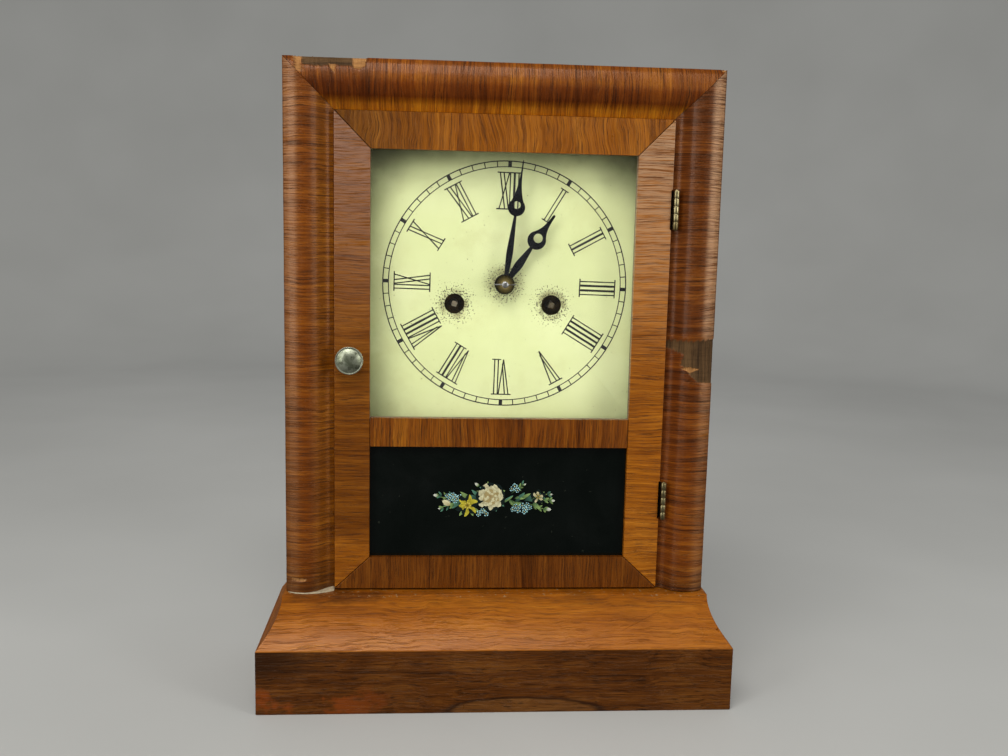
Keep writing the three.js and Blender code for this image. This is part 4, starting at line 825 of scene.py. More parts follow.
def curve_through(knots, count):
    """Points of a smooth curve through the knots, with count steps to each span."""
    points = []
    for i in range(len(knots) - 1):
        around = knots[max(i - 1, 0)], knots[i], knots[i + 1], knots[min(i + 2, len(knots) - 1)]
        for k in range(count):
            t = k / count
            points.append(tuple(
                0.5 * (2 * b + (c - a) * t + (2 * a - 5 * b + 4 * c - d) * t * t
                       + (3 * b - a - 3 * c + d) * t ** 3)
                for a, b, c, d in zip(*around)))
    return points + [knots[-1]]


def signed_distance(x, z, polygon):
    """Distance to a polygon's edge in mm, positive inside it."""
    inside, nearest = False, 1e9
    for (x0, z0), (x1, z1) in zip(polygon, polygon[1:] + polygon[:1]):
        if (z0 > z) != (z1 > z) and x < (x1 - x0) * (z - z0) / (z1 - z0) + x0:
            inside = not inside
        ex, ez = x1 - x0, z1 - z0
        t = max(0.0, min(1.0, ((x - x0) * ex + (z - z0) * ez) / (ex * ex + ez * ez)))
        nearest = min(nearest, math.hypot(x - x0 - t * ex, z - z0 - t * ez))
    return nearest if inside else -nearest


# Places where the veneer is chipped to fresh wood, and where it has come away long ago.
CHIPS = {
    "moulding_top": [
        [(-125.6, 396.2), (-120.5, 396.2), (-120.6, 390.0), (-121.0, 386.3), (-124.4, 387.6),
         (-124.0, 391.5)],
        [(-104.6, 391.3), (-100.3, 391.1), (-101.5, 386.6), (-103.2, 388.2)],
        [(-91.2, 396.2), (-82.8, 396.2), (-83.6, 390.6), (-87.0, 388.6), (-90.5, 389.2)],
        [(127.5, 396.2), (132.2, 396.2), (132.2, 392.6), (129.4, 394.0)],
    ],
    "moulding_right": [
        [(111.5, 215.4), (116.0, 216.2), (122.0, 215.3), (117.1, 212.7)],
        [(124.0, 201.0), (125.4, 200.8), (125.4, 199.2), (124.2, 199.4)],
    ],
    "moulding_left": [
        [(-128.4, 81.6), (-124.0, 81.2), (-118.8, 80.9), (-119.0, 79.5), (-123.5, 79.1), (-128.0, 80.0)],
    ],
}
STRIPPED = {
    "moulding_top": [[(-120.5, 396.3), (-83.1, 396.3), (-83.6, 391.2), (-92.0, 390.2), (-101.0, 390.8),
                      (-110.0, 389.9), (-120.0, 390.6)]],
    "moulding_right": [[(102.0, 231.9), (129.5, 233.7), (133.0, 234.1), (133.0, 206.0), (129.1, 206.3),
                        (122.4, 206.8), (116.8, 211.4), (111.4, 217.6), (112.7, 224.2), (107.0, 226.3),
                        (102.0, 227.5)]],
    "moulding_left": [],
}
CHIP_DEPTH = 0.75
STRIP_DEPTH = 0.55
MOULDING_FOOT = 72.0
ROW_STEP, WORN_ROW_STEP = 1.6, 0.45
FRONT_SIDE, FACE = 15.0, 6  # depths in front of which a point is on the sides or the show face


def wear(name, x, z):
    """How far the surface is worn in at a place, and how bare and how stripped it is."""
    ragged = 0.5 * noise.noise(Vector((x * 0.9, 0.0, z * 0.9)))
    ragged += 0.25 * noise.noise(Vector((x * 2.6, 4.0, z * 2.6)))
    bare = max([smooth(signed_distance(x, z, p) + ragged, -0.2, 0.25) for p in CHIPS[name]] + [0.0])
    stripped = max([smooth(signed_distance(x, z, p) + ragged, -0.15, 0.2) for p in STRIPPED[name]] + [0.0])
    depth = max(bare * CHIP_DEPTH, stripped * STRIP_DEPTH)
    if stripped > 0.3:
        depth += 0.12 * stripped * (0.5 + noise.noise(Vector((x * 0.35, 9.0, z * 0.35))))
    return depth, bare, stripped * (1.0 - bare)


def stations(low, high, coarse, fine_spans, fine):
    """Places from low to high, closer together in and near the worn spans."""
    places = [low]
    while places[-1] < high - 0.01:
        here = places[-1]
        near = any(a - 1 <= here <= b + 1 for a, b in fine_spans)
        places.append(min(high, here + (fine if near else coarse)))
    return places


def ogee_profile():
    """The moulding's section: w from the outside, and depth."""
    front = curve_through(OGEE_KNOTS, 12)
    front[0], front[-1] = (0.35, -1.35), (29.4, 3.85)
    inner = [(29.5, 4.1), (29.45, 4.6), (29.5, 8.0), (29.4, 15.8), (29.2, 16.0)]
    back = [(20.0, 16.0), (10.0, 16.0), (0.3, 16.0)]
    outer = [(0.05, 15.8), (0.0, 12.0), (0.0, 8.0), (0.0, 4.0), (0.0, 1.0), (0.0, -0.6), (0.1, -1.0)]
    return front + inner + back + outer


def moulding(name, side):
    """side is -1 or 1 for the upright members and 0 for the one across the top."""
    zones = CHIPS[name] + STRIPPED[name]
    along = 1 if side else 0
    spans = [(min(p[along] for p in z), max(p[along] for p in z)) for z in zones]
    low, high = (MOULDING_FOOT, CASE_HEIGHT) if side else (-CASE_HALF, CASE_HALF)
    rings, bare, stripped, across = [], [], [], []
    for row in stations(low, high, ROW_STEP, spans, WORN_ROW_STEP):
        share = (row - low) / (high - low)
        ring = []
        for w, y in ogee_profile():
            if side:
                end = CASE_HEIGHT - w - MITRE_GAP
                x, z = side * (CASE_HALF - w), low + share * (end - low)
            else:
                reach = CASE_HALF - w - MITRE_GAP
                x, z = (2 * share - 1) * reach, CASE_HEIGHT - w
            depth, is_bare, is_stripped = 0.0, 0.0, 0.0
            if y < FRONT_SIDE:
                depth, is_bare, is_stripped = wear(name, x, z)
                depth += 0.07 * ripple(x, y, z, 0.05) + 0.03 * ripple(x, y, z, 0.3) + 0.1
            outside = depth * (1.0 - smooth(w, 0.0, 0.6)) if y < FRONT_SIDE else 0.0
            if side:
                x -= side * outside
            else:
                z -= outside
            flat = smooth(w, 0.0, 0.6) * smooth(MOULDING_WIDTH - w, 0.0, 0.3)
            inward = max(flat, 0.35) if y < FACE else 0.0
            ring.append(P(x, y + depth * inward, z))
            bare.append(is_bare)
            stripped.append(is_stripped)
            across.append(w * MM)
        rings.append(ring)
    mesh = skin(rings, {"bare": bare, "stripped": stripped, "across": across})
    add_object(name + "_veneered", mesh, WOODS[name], "case", 40, name)


moulding("moulding_left", -1)
moulding("moulding_right", 1)
moulding("moulding_top", 0)

# ------------------------------------------------------------------ base


def base_profile():
    """Points from the inner top edge over the top, down the cove and the plinth and back inside."""
    top = COVE_DEPTH + BASE_WALL
    points = [(top - 0.3, BASE_TOP), (COVE_DEPTH + 8, BASE_TOP), (COVE_DEPTH + 4, BASE_TOP),
              (COVE_DEPTH + 1.0, BASE_TOP), (COVE_DEPTH + 0.4, BASE_TOP - 0.1), (COVE_DEPTH, BASE_TOP - 0.5)]
    count = 26
    for i in range(1, count + 1):
        t = 1 - i / count
        w = 2 * (1 - t) * t * COVE_DEPTH + t * t * COVE_DEPTH
        z = (1 - t) ** 2 * PLINTH_HEIGHT + 2 * (1 - t) * t * COVE_CONTROL + t * t * BASE_TOP
        points.append((w, z))
    points[-1] = (0.35, PLINTH_HEIGHT + 0.55)
    points += [(0.12, PLINTH_HEIGHT + 0.15), (0.0, PLINTH_HEIGHT - 0.3)]
    points += [(0.0, z) for z in range(38, 1, -3)]
    points += [(0.0, 0.9), (0.25, 0.25), (0.9, 0.0), (8.0, 0.0), (top - 0.8, 0.0), (top, 0.6)]
    return points + [(top, z) for z in (12, 24, 36, 48, 60)] + [(top, BASE_TOP - 0.3)]


def base_member(place, start, end, step=2.0):
    """place turns (w, along) into x, depth; start and end give the length at each w."""
    count = max(2, int(abs(end(0.0) - start(0.0)) / step))
    rings = []
    for k in range(count + 1):
        ring = []
        for w, z in base_profile():
            s = start(w) + (end(w) - start(w)) * k / count
            x, y = place(w, s)
            wave = 0.0
            if w < 26 and z > 0.3:  # the outside
                wave = 0.10 * noise.noise(Vector((x * 0.03, y * 0.03, z * 0.06)))
                wave += 0.03 * noise.noise(Vector((x * 0.2, y * 0.2, z * 0.3))) + 0.13
            x, y = place(w + wave, s)
            ring.append(P(x, y, z - (wave if z > BASE_TOP - 0.2 else 0.0)))
        rings.append(ring)
    return skin(rings)


def slope_depth(z):
    """The depth of the base's front at a height."""
    if z < PLINTH_HEIGHT:
        return -PLINTH_PROJECTION
    profile = [(w, h) for w, h in base_profile() if h > PLINTH_HEIGHT and w <= COVE_DEPTH + 0.01]
    return min(profile, key=lambda p: abs(p[1] - z))[0] - PLINTH_PROJECTION


def crack(points, width, depth, seed):
    """A ragged sliver to cut out of the base's front along a line in x, z."""
    chance = random.Random(seed)
    path = []
    for (x0, z0), (x1, z1) in zip(points, points[1:]):
        steps = max(2, int(math.hypot(x1 - x0, z1 - z0) / 2.2))
        for i in range(steps):
            t = i / steps
            path.append((x0 + (x1 - x0) * t, z0 + (z1 - z0) * t + chance.uniform(-0.25, 0.25)))
    path.append(points[-1])
    rings = []
    for i, (x, z) in enumerate(path):
        share = i / (len(path) - 1)
        half = width * (0.25 + math.sin(math.pi * share) ** 0.7) / 2
        y = slope_depth(z)
        rings.append([P(x, y - 1.0, z - half), P(x, y - 1.0, z + half), P(x, y + depth, z)])
    return skin(rings)


SEAM = 0.2  # the members stop this far short of their mitre
CRACKS = (
    ([(-135.0, 60.0), (-120.0, 60.9), (-101.0, 61.0)], 0.4, 1.1),
    ([(-125.0, 41.8), (-96.0, 44.5), (-72.0, 47.5), (-50.0, 50.0)], 0.34, 1.1),
    ([(76.0, 49.0), (92.0, 56.0), (106.0, 62.0)], 0.34, 1.1),
    ([(138.6, 50.6), (142.2, 51.4)], 3.2, 1.6),
)
front_mesh = cut_out(
    base_member(lambda w, s: (s, w - PLINTH_PROJECTION),
                lambda w: -(PLINTH_HALF - w - SEAM), lambda w: PLINTH_HALF - w - SEAM),
    *[crack(*shape, seed) for seed, shape in enumerate(CRACKS, 1)])
add_object("base_front_veneered", front_mesh, WOODS["base_front"], "case", 35,
           "base_front")
for side, side_name in ((-1, "base_left"), (1, "base_right")):
    side_mesh = base_member(lambda w, s: (side * (PLINTH_HALF - w), s),
                            lambda w: w - PLINTH_PROJECTION + SEAM, lambda w: CASE_BACK)
    add_object(side_name + "_veneered", side_mesh, WOODS["base_side"], "case", 35,
               side_name)

# a thin wedge of old filler closes the gap under the foot of the left moulding
FILLER_STATIONS = ((-130.6, -2.6, 71.75), (-126.0, -5.6, 71.95), (-120.0, -6.6, 72.05), (-112.0, -5.6, 72.25),
                   (-106.5, -3.4, 72.65), (-103.2, -1.2, 72.95), (-102.4, -0.6, 72.3))
FILLER_BACK, FILLER_FOOT = 6.0, 71.55
wedge = skin([[P(x, y - 0.5, FILLER_FOOT), P(x, y, z), P(x, FILLER_BACK, z), P(x, FILLER_BACK, FILLER_FOOT)]
              for x, y, z in FILLER_STATIONS])

# ------------------------------------------------------------------ CAD nodes that stay

KEPT = (
    (PINE_SIDE, 0.5, 3, "case_left_side case_right_side"),
    (PINE_TOP, 0.5, 3, "case_top_board"),
    (PINE_INSIDE, 0.5, 3, "case_floor_board dial_rail_left dial_rail_right"),
    (WOODS["rail_top"], 0.45, 3, "door_rail_top"),
    (WOODS["stile_left"], 0.45, 3, "door_stile_left"),
    (WOODS["stile_right"], 0.45, 3, "door_stile_right"),
    (WOODS["rail_middle"], 0.45, 3, "door_rail_middle"),
    (WOODS["rail_bottom"], 0.45, 3, "door_rail_bottom"),
    (window_glass(), 0.15, 2, "upper_glass"),
    (black_tablet(), 0.15, 2, "lower_tablet"),
    (PUTTY, 0.25, 2, "upper_glazing_bead lower_glazing_bead"),
    (DARK_BRASS, 0.08, 2, "movement_front_plate movement_back_plate"),
    (BRASS, 0.08, 2, "centre_wheel third_wheel escape_wheel hour_wheel minute_wheel time_great_wheel"),
    (BRASS, 0.08, 2, "strike_great_wheel strike_pin_wheel strike_warning_wheel strike_fly"),
    (STEEL, 0.08, 2, "verge strike_hammer"),
    (ARBOR_STEEL, 0.08, 2, "minute_arbor"),
    (WINDING_STEEL, 0.08, 2, "time_winding_arbor strike_winding_arbor"),
    (SPRING_STEEL, 0.0, 2, "time_mainspring strike_mainspring"),
    (STEEL, 0.15, 2, "dial_screw_1 dial_screw_2 dial_screw_3 dial_screw_4"),
)
for kept_material, kept_edge, kept_steps, kept_names in KEPT:
    for kept_name in kept_names.split():
        finish_node(kept_name, kept_material, kept_edge, kept_steps)

# ------------------------------------------------------------------ backboard

# one planed board, nailed round its edge with cut nails whose heads are punched just below it
NAIL_RADIUS, NAIL_SINK = 2.1, 0.25
back_low, back_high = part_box("backboard")
board_span = [(back_low[i] / MM, back_high[i] / MM) for i in range(3)]
board_front, board_back = [y + DEPTH_CENTRE for y in board_span[1]]
nail_rows = (96.0, 170.0, 244.0, 318.0, 382.0)
nail_spots = [(x - math.copysign(6.0, x), z) for x in board_span[0] for z in nail_rows]
nail_spots += [(-62.0, 389.0), (4.0, 388.0), (66.0, 389.5)]
pit_profile = [(r, board_back + y) for r, y in ((HUB, -0.45), (NAIL_RADIUS + 0.5, -0.45),
                                                (NAIL_RADIUS + 0.7, 1.0), (HUB, 1.0))]
head_profile = [(r, board_back + y) for r, y in (
    (HUB, -0.55), (NAIL_RADIUS * 0.8, -0.55), (NAIL_RADIUS, -0.4), (NAIL_RADIUS * 0.9, -NAIL_SINK),
    (HUB, 0.1 - NAIL_SINK))]
back_mesh = cut_out(box(*board_span[0], board_front, board_back, *board_span[2], 0.5),
                    joined(*[lathe(pit_profile, spot, 20) for spot in nail_spots]))
add_object("backboard_planed", back_mesh, PINE_BACK, "case", 40, "backboard")
nail_chance = random.Random(8)
nail_heads = [lathe(head_profile, [v + nail_chance.uniform(-0.2, 0.2) for v in spot], 12)
              for spot in nail_spots]
add_object("backboard_nails", joined(*nail_heads), IRON, "case", 30)

# ------------------------------------------------------------------ dial

dial_low, dial_high = DIAL[1] - DIAL_HALF[1], DIAL[1] + DIAL_HALF[1]
dial_edge = [(-DIAL_HALF[0], dial_low), (DIAL_HALF[0], dial_low),
             (DIAL_HALF[0], dial_high), (-DIAL_HALF[0], dial_high)]
dial_holes = [circle(*DIAL, CENTRE_HOLE)] + [circle(*spot, WINDING_HOLE, 72) for spot in WINDING]
dial_holes += [circle(*spot, SCREW_HOLE, 24) for spot in DIAL_SCREWS]
add_object("dial_painted", plate([dial_edge] + dial_holes, DIAL_FRONT, DIAL_THICKNESS, 0.12),
           dial_paint(), "case", 50, "dial_plate")

PRINT_FRONT = 17.44
PRINT_BACK = 17.52
PRINT_CENTRE = (DIAL[0] + 0.7, DIAL[1] - 0.7)  # the print lies a little off the arbor and turned clockwise
PRINT_TURN = math.radians(1.1)
PRINT_STEP = 5.0
LINE, MINUTE_LINE = 0.74, 0.6  # the widths of the numerals' lines and of the minutes'
TRACK_LINES = (0.56, 0.68)  # the widths of the minute track's two rings


class Print:
    """Thin raised ink: straight strokes, blocks and rings, placed from the dial's centre."""

    def __init__(self, seed):
        self.verts, self.faces = [], []
        self.chance = random.Random(seed)

    def prism(self, loop):
        start, count = len(self.verts), len(loop)
        self.verts += [P(x, y, z) for y in (PRINT_FRONT, PRINT_BACK) for x, z in loop]
        self.faces.append(tuple(start + i for i in range(count)))
        self.faces.append(tuple(start + count + i for i in reversed(range(count))))
        for i in range(count):
            j = (i + 1) % count
            self.faces.append((start + i, start + count + i, start + count + j, start + j))

    def stroke(self, frame, a, b, width=LINE):
        """A line from a to b, each (across, radius) in a numeral's own frame."""
        (ax, az), (bx, bz) = frame(*a), frame(*b)
        length = math.hypot(bx - ax, bz - az)
        nx, nz = -(bz - az) / length, (bx - ax) / length
        steps = max(1, int(length / PRINT_STEP))
        left, right = [], []
        for i in range(steps + 1):
            t = i / steps
            x, z = ax + (bx - ax) * t, az + (bz - az) * t
            half = width * self.chance.uniform(0.42, 0.56)
            left.append((x + nx * half, z + nz * half))
            right.append((x - nx * half, z - nz * half))
        self.prism(left + right[::-1])

    def ring(self, radius, width, sides=240):
        start = len(self.verts)
        inner, outer = radius - width / 2, radius + width / 2
        for i, (c, s) in enumerate(steps_round(sides)):
            for r, y in zip((inner, outer, outer, inner), (PRINT_FRONT, PRINT_FRONT, PRINT_BACK, PRINT_BACK)):
                self.verts.append(P(PRINT_CENTRE[0] + r * s, y, PRINT_CENTRE[1] + r * c))
            here, there = start + 4 * i, start + 4 * ((i + 1) % sides)
            for k in range(4):
                m = (k + 1) % 4
                self.faces.append((here + k, there + k, there + m, here + m))


def dial_frame(angle, shift=0.0):
    """Turns (across, radius) at an angle into x, z; across runs clockwise."""
    sine, cosine = math.sin(angle + PRINT_TURN), math.cos(angle + PRINT_TURN)

    def place(across, radius):
        across += shift
        return (PRINT_CENTRE[0] + radius * sine + across * cosine,
                PRINT_CENTRE[1] + radius * cosine - across * sine)
    return place


STROKE = 2.3  # across a hollow stroke, between the middles of its two lines
BETWEEN = 0.62
OVERHANG = 1.7
LETTER_WIDTHS = {"I": STROKE, "V": 6.3, "X": 5.8}
V_TIP = 0.58  # where a V's tip lies along its width


def numeral(ink, word, angle):
    """A Roman numeral of hollow strokes between two rules, with its foot toward the centre."""
    inner, outer = NUMERALS
    total = sum(LETTER_WIDTHS[c] for c in word) + BETWEEN * (len(word) - 1)
    frame = dial_frame(angle, -total / 2)
    at, runs = 0.0, []
    for letter in word:
        wide = LETTER_WIDTHS[letter]
        if letter == "I":
            lines = ((at, inner), (at, outer)), ((at + STROKE, inner), (at + STROKE, outer))
        elif letter == "V":
            tip = at + wide * V_TIP
            lines = (((at, outer), (tip, inner)), ((at + STROKE, outer), (tip + 0.7, inner + 2.6)),
                     ((at + wide, outer), (tip, inner)))
        else:
            lines = (((at, outer), (at + wide - STROKE, inner)), ((at + STROKE, outer), (at + wide, inner)),
                     ((at + wide, outer), (at, inner)))
        for a, b in lines:
            ink.stroke(frame, a, b)
        if letter != "V":
            runs.append((at, at + wide))
        at += wide + BETWEEN
    ink.stroke(frame, (-OVERHANG, outer), (total + OVERHANG, outer))
    if runs:
        ink.stroke(frame, (runs[0][0] - OVERHANG, inner), (runs[-1][1] + OVERHANG, inner))


ink = Print(5)
for hour, word in enumerate("XII I II III IIII V VI VII VIII IX X XI".split()):
    numeral(ink, word, 2 * math.pi * hour / 12)
for radius, width in zip(RING, TRACK_LINES):
    ink.ring(radius, width)
for minute in range(60):
    minute_frame = dial_frame(2 * math.pi * minute / 60)
    if minute % 5:
        ink.stroke(minute_frame, (0, RING[0]), (0, RING[1]), MINUTE_LINE)
    else:
        block = ((-1.15, RING[0]), (1.15, RING[0]), (1.1, RING[1]), (-1.1, RING[1]))
        ink.prism([minute_frame(*corner) for corner in block])
add_object("dial_print", tidy(mesh_from(ink.verts, ink.faces), 1e-9), INK, "case")

# ------------------------------------------------------------------ hands

HAND_THICKNESS, HAND_EDGE = 0.6, 0.09


def moon_hand(name, body, front, turn, length, hub, bore, leaf_width, neck, moon_at, moon, hole, end):
    """A blued hand drawn upward: hub, leaf-shaped shaft, pierced moon and a long point."""
    half = []  # the right-hand side from the hub to the tip
    hub_width, leaf_at = leaf_width * 0.68, hub + (moon_at - moon - hub) * 0.4
    start = math.asin(hub_width / hub)
    for i in range(25):
        angle = math.pi + (start - math.pi) * i / 24
        half.append((hub * math.sin(angle), hub * math.cos(angle)))
    foot = moon_at - moon * 0.97
    for i in range(1, 16):
        r = hub + (foot - hub) * i / 16
        if r < leaf_at:
            width = hub_width + (leaf_width - hub_width) * smooth(r, hub, leaf_at)
        else:
            width = leaf_width + (neck - leaf_width) * ((r - leaf_at) / (foot - leaf_at)) ** 1.15
        half.append((width, r))
    first, last = math.pi - math.asin(neck / moon), 0.78
    for i in range(21):
        angle = first + (last - first) * i / 20
        half.append((moon * math.sin(angle), moon_at + moon * math.cos(angle)))
    join_x, join_z = half[-1]
    for i in range(1, 12):
        t = i / 12
        curve = 0.84 * (1 - t) ** 3.4 + 0.16 * (1 - t)
        half.append((end + (join_x - end) * curve, join_z + (length - join_z) * t))
    half.append((end * 0.8, length - 0.05))
    loops = [half + [(-x, z) for x, z in reversed(half[1:])], circle(0, 0, bore, 48),
             circle(0, moon_at + 1.5, hole, 40)]
    sine, cosine = math.sin(math.radians(turn)), math.cos(math.radians(turn))
    placed = [[(DIAL[0] + x * cosine + z * sine, DIAL[1] - x * sine + z * cosine) for x, z in loop]
              for loop in loops]
    mesh = plate(placed, front, HAND_THICKNESS, HAND_EDGE)
    add_object(name + "_blued", mesh, BLACK_STEEL, body, 40, name)


moon_hand("minute_hand", "minute_hand_and_arbor", front=10.0, turn=7.4, length=76.4, hub=5.4, bore=2.3,
          leaf_width=2.05, neck=0.78, moon_at=47.6, moon=5.3, hole=2.3, end=0.32)
moon_hand("hour_hand", "hour_hand_and_pipe", front=12.0, turn=35.0, length=52.5, hub=6.2, bore=3.5,
          leaf_width=2.6, neck=1.05, moon_at=33.6, moon=5.8, hole=2.85, end=0.8)

washer = lathe([(2.3, 8.75), (2.6, 8.7), (3.6, 8.74), (4.6, 8.9), (5.5, 9.1), (5.9, 9.2), (6.0, 9.35),
                (5.95, 9.62), (5.7, 9.7), (4.4, 9.48), (3.0, 9.33), (2.35, 9.3), (2.3, 9.2), (2.3, 8.75)],
               DIAL, 72)
add_object("hand_washer_dished", tidy(washer), washer_brass(), "minute_hand_and_arbor", 40,
           "hand_washer")
PIN_HALF, PIN_DEPTH, PIN_RADIUS, PIN_TAPER = 6.9, 7.9, 0.46, 0.12
pin_points = [P(DIAL[0] - PIN_HALF + 2 * PIN_HALF * i / 14, PIN_DEPTH, DIAL[1] + 0.12 * math.sin(i * 0.6))
              for i in range(15)]
add_object("hand_taper_pin", tube(pin_points, lambda t: PIN_RADIUS - PIN_TAPER * t, 16), STEEL,
           "minute_hand_and_arbor", 40, "hand_pin")

# ------------------------------------------------------------------ knob, latch and hinges

knob_profile = [(HUB, -10.4), (1.2, -10.38), (2.6, -10.3), (4.0, -10.08), (5.2, -9.72), (6.2, -9.25),
                (6.9, -8.86), (7.25, -8.66), (7.5, -8.62), (7.75, -8.7), (8.0, -8.82), (8.25, -8.8),
                (8.42, -8.62), (8.5, -8.3), (8.46, -7.95), (8.3, -7.5), (7.9, -6.9), (7.0, -6.0),
                (5.8, -5.1), (4.7, -4.4), (3.9, -3.7), (3.55, -3.0), (3.6, -2.3), (3.9, -1.7), (4.2, -1.3),
                (4.28, -0.9), (4.22, -0.4), (4.1, -0.32), (2.0, -0.3), (2.0, 17.7), (1.7, 18.05), (HUB, 18.1)]
add_object("door_knob_turned", lathe(knob_profile, KNOB, 96), pewter(), "latch", 50, "door_knob")

hook_loop = [(0.0, 3.95), (-3.0, 3.2), (-3.6, 0.0), (-3.5, -4.0), (-3.3, -9.0), (-3.2, -13.6), (-2.4, -15.9),
             (-1.2, -16.9), (1.5, -16.9), (2.3, -15.6), (2.7, -13.6), (3.1, -9.0), (3.5, -4.0), (3.6, 0.0),
             (3.0, 3.2)]
hook_loop = [(KNOB[0] + x, KNOB[1] + z) for x, z in hook_loop]
HOOK_FRONT, HOOK_THICKNESS, HOOK_BORE = 16.4, 1.4, 2.3
hook_mesh = plate([hook_loop, circle(*KNOB, HOOK_BORE, 40)], HOOK_FRONT, HOOK_THICKNESS, 0.25, 3)
add_object("latch_hook_pressed", hook_mesh, BRASS, "latch", 40, "latch_hook")

KNUCKLES, KNUCKLE_GAP, KNUCKLE_RADIUS, HINGE_PIN = 5, 0.3, 1.95, 1.0
LEAF_THICKNESS = 0.7
LEAF_DEPTHS, TONGUE_DEPTHS = (2.0, 12.3), (-1.0, 2.3)
CASE_LEAF_X, DOOR_LEAF_X = 102.8, 101.75


def hinge_leaf(name, left, centre, first, pinned, body):
    """A leaf let in beside the stile, with every second knuckle of the hinge rolled from it."""
    low, high, pitch = centre - HINGE_HALF, centre + HINGE_HALF, (2 * HINGE_HALF + KNUCKLE_GAP) / KNUCKLES
    right = left + LEAF_THICKNESS
    parts = [box(left, right, *LEAF_DEPTHS, low, high, 0.12)]
    for k in range(first, KNUCKLES, 2):
        bottom = low + k * pitch
        top = bottom + pitch - KNUCKLE_GAP
        parts.append(barrel(*HINGE_AXIS, bottom, top, KNUCKLE_RADIUS, 0.14))
        parts.append(box(left, right, *TONGUE_DEPTHS, bottom, top, 0.08))
    if pinned:
        parts.append(barrel(*HINGE_AXIS, low - 0.6, high + 0.6, HINGE_PIN, 0.3))
    add_object(name + "_pressed", joined(*parts), HINGE_BRASS, body, 40, name)


for hinge, height in HINGES.items():
    hinge_leaf(hinge + "_hinge_case_leaf", CASE_LEAF_X, height, 0, True, "case")
    hinge_leaf(hinge + "_hinge_door_leaf", DOOR_LEAF_X, height, 1, False, "door")

# ------------------------------------------------------------------ pendulum and gong

BOB_HALF, BOB_BORE, BOB_RIM = 4.6, 1.1, 0.35
bob_front = []
for step in range(21):
    turn = math.pi / 2 * step / 20
    radius, rise = (BOB_RADIUS * math.sin(turn), math.cos(turn)) if step else (HUB, 1.0)
    thin = BOB_RIM * (radius / BOB_RADIUS) ** 6
    bob_front.append((radius, PENDULUM_DEPTH - BOB_HALF * rise * 0.995 - thin))
bob_back = [(r, 2 * PENDULUM_DEPTH - y) for r, y in reversed(bob_front)]
bob_mesh = cut_out(lathe(bob_front + bob_back, (PENDULUM_X, BOB_Z), 96),
                   upright(PENDULUM_X, PENDULUM_DEPTH, [(BOB_BORE, BOB_Z - 30), (BOB_BORE, BOB_Z + 30)], 24))
add_object("pendulum_bob_spun", bob_mesh, BRASS, "pendulum", 40, "pendulum_bob")

NUT_LOW = BOB_Z - BOB_RADIUS - 5.0
ROD_RADIUS, ROD_TOP = 0.8, 309.5
STRIP_LOW, STRIP_HALF = 308.0, (1.6, 0.25)
rod_profile = [(HUB, NUT_LOW), (0.7, NUT_LOW), (ROD_RADIUS, NUT_LOW + 0.2), (ROD_RADIUS, ROD_TOP - 0.3),
               (0.6, ROD_TOP), (HUB, ROD_TOP)]
nut_profile = [(r, NUT_LOW + z) for r, z in (
    (0.7, 0.1), (2.1, 0.1), (2.4, 0.4), (2.4, 3.0), (2.1, 3.4), (0.7, 3.4))]
strip_sides = [middle + way * half for middle, half in zip((PENDULUM_X, PENDULUM_DEPTH), STRIP_HALF)
               for way in (-1, 1)]
strip = box(*strip_sides, STRIP_LOW, SUSPENSION_Z, 0.06)
rod_mesh = joined(upright(PENDULUM_X, PENDULUM_DEPTH, rod_profile, 20),
                  upright(PENDULUM_X, PENDULUM_DEPTH, nut_profile, 12), strip)
add_object("pendulum_rod_drawn", rod_mesh, STEEL, "pendulum", 40, "pendulum_rod")

COIL_TURNS, COIL_STEPS = 4, 72
COIL_START, COIL_GROWTH, COIL_WIRE = 6.4, 27.6, 1.18
coil_points = []
for step in range(COIL_TURNS * COIL_STEPS + 1):
    share = step / (COIL_TURNS * COIL_STEPS)
    turn = math.radians(-90) + share * 2 * COIL_TURNS * math.pi
    reach = COIL_START + COIL_GROWTH * share
    coil_points.append(P(GONG[0] + reach * math.cos(turn), GONG_DEPTH, GONG[1] + reach * math.sin(turn)))
gong_wire = tube(coil_points, lambda t: COIL_WIRE, 16)
add_object("gong_coil_wound", gong_wire, SPRING_STEEL, "case", 60, "gong_coil")
block_profile = [(HUB, 73.5), (4.3, 73.5), (4.75, 73.7), (4.9, 74.2), (4.9, 82.0), (5.3, 82.7), (6.2, 83.0),
                 (12.2, 83.0), (12.8, 83.3), (13.0, 83.8), (13.0, 85.6), (12.6, 86.0), (HUB, 86.0)]
add_object("gong_block_cast", lathe(block_profile, GONG, 72), IRON, "case", 40, "gong_block")

# ------------------------------------------------------------------ flowers on the tablet

PAINT_LEVEL = 4.285  # the depth where the first dab lies
LAYER = 0.00009


def blend(first, second, share):
    return [a + (b - a) * share for a, b in zip(first, second)]


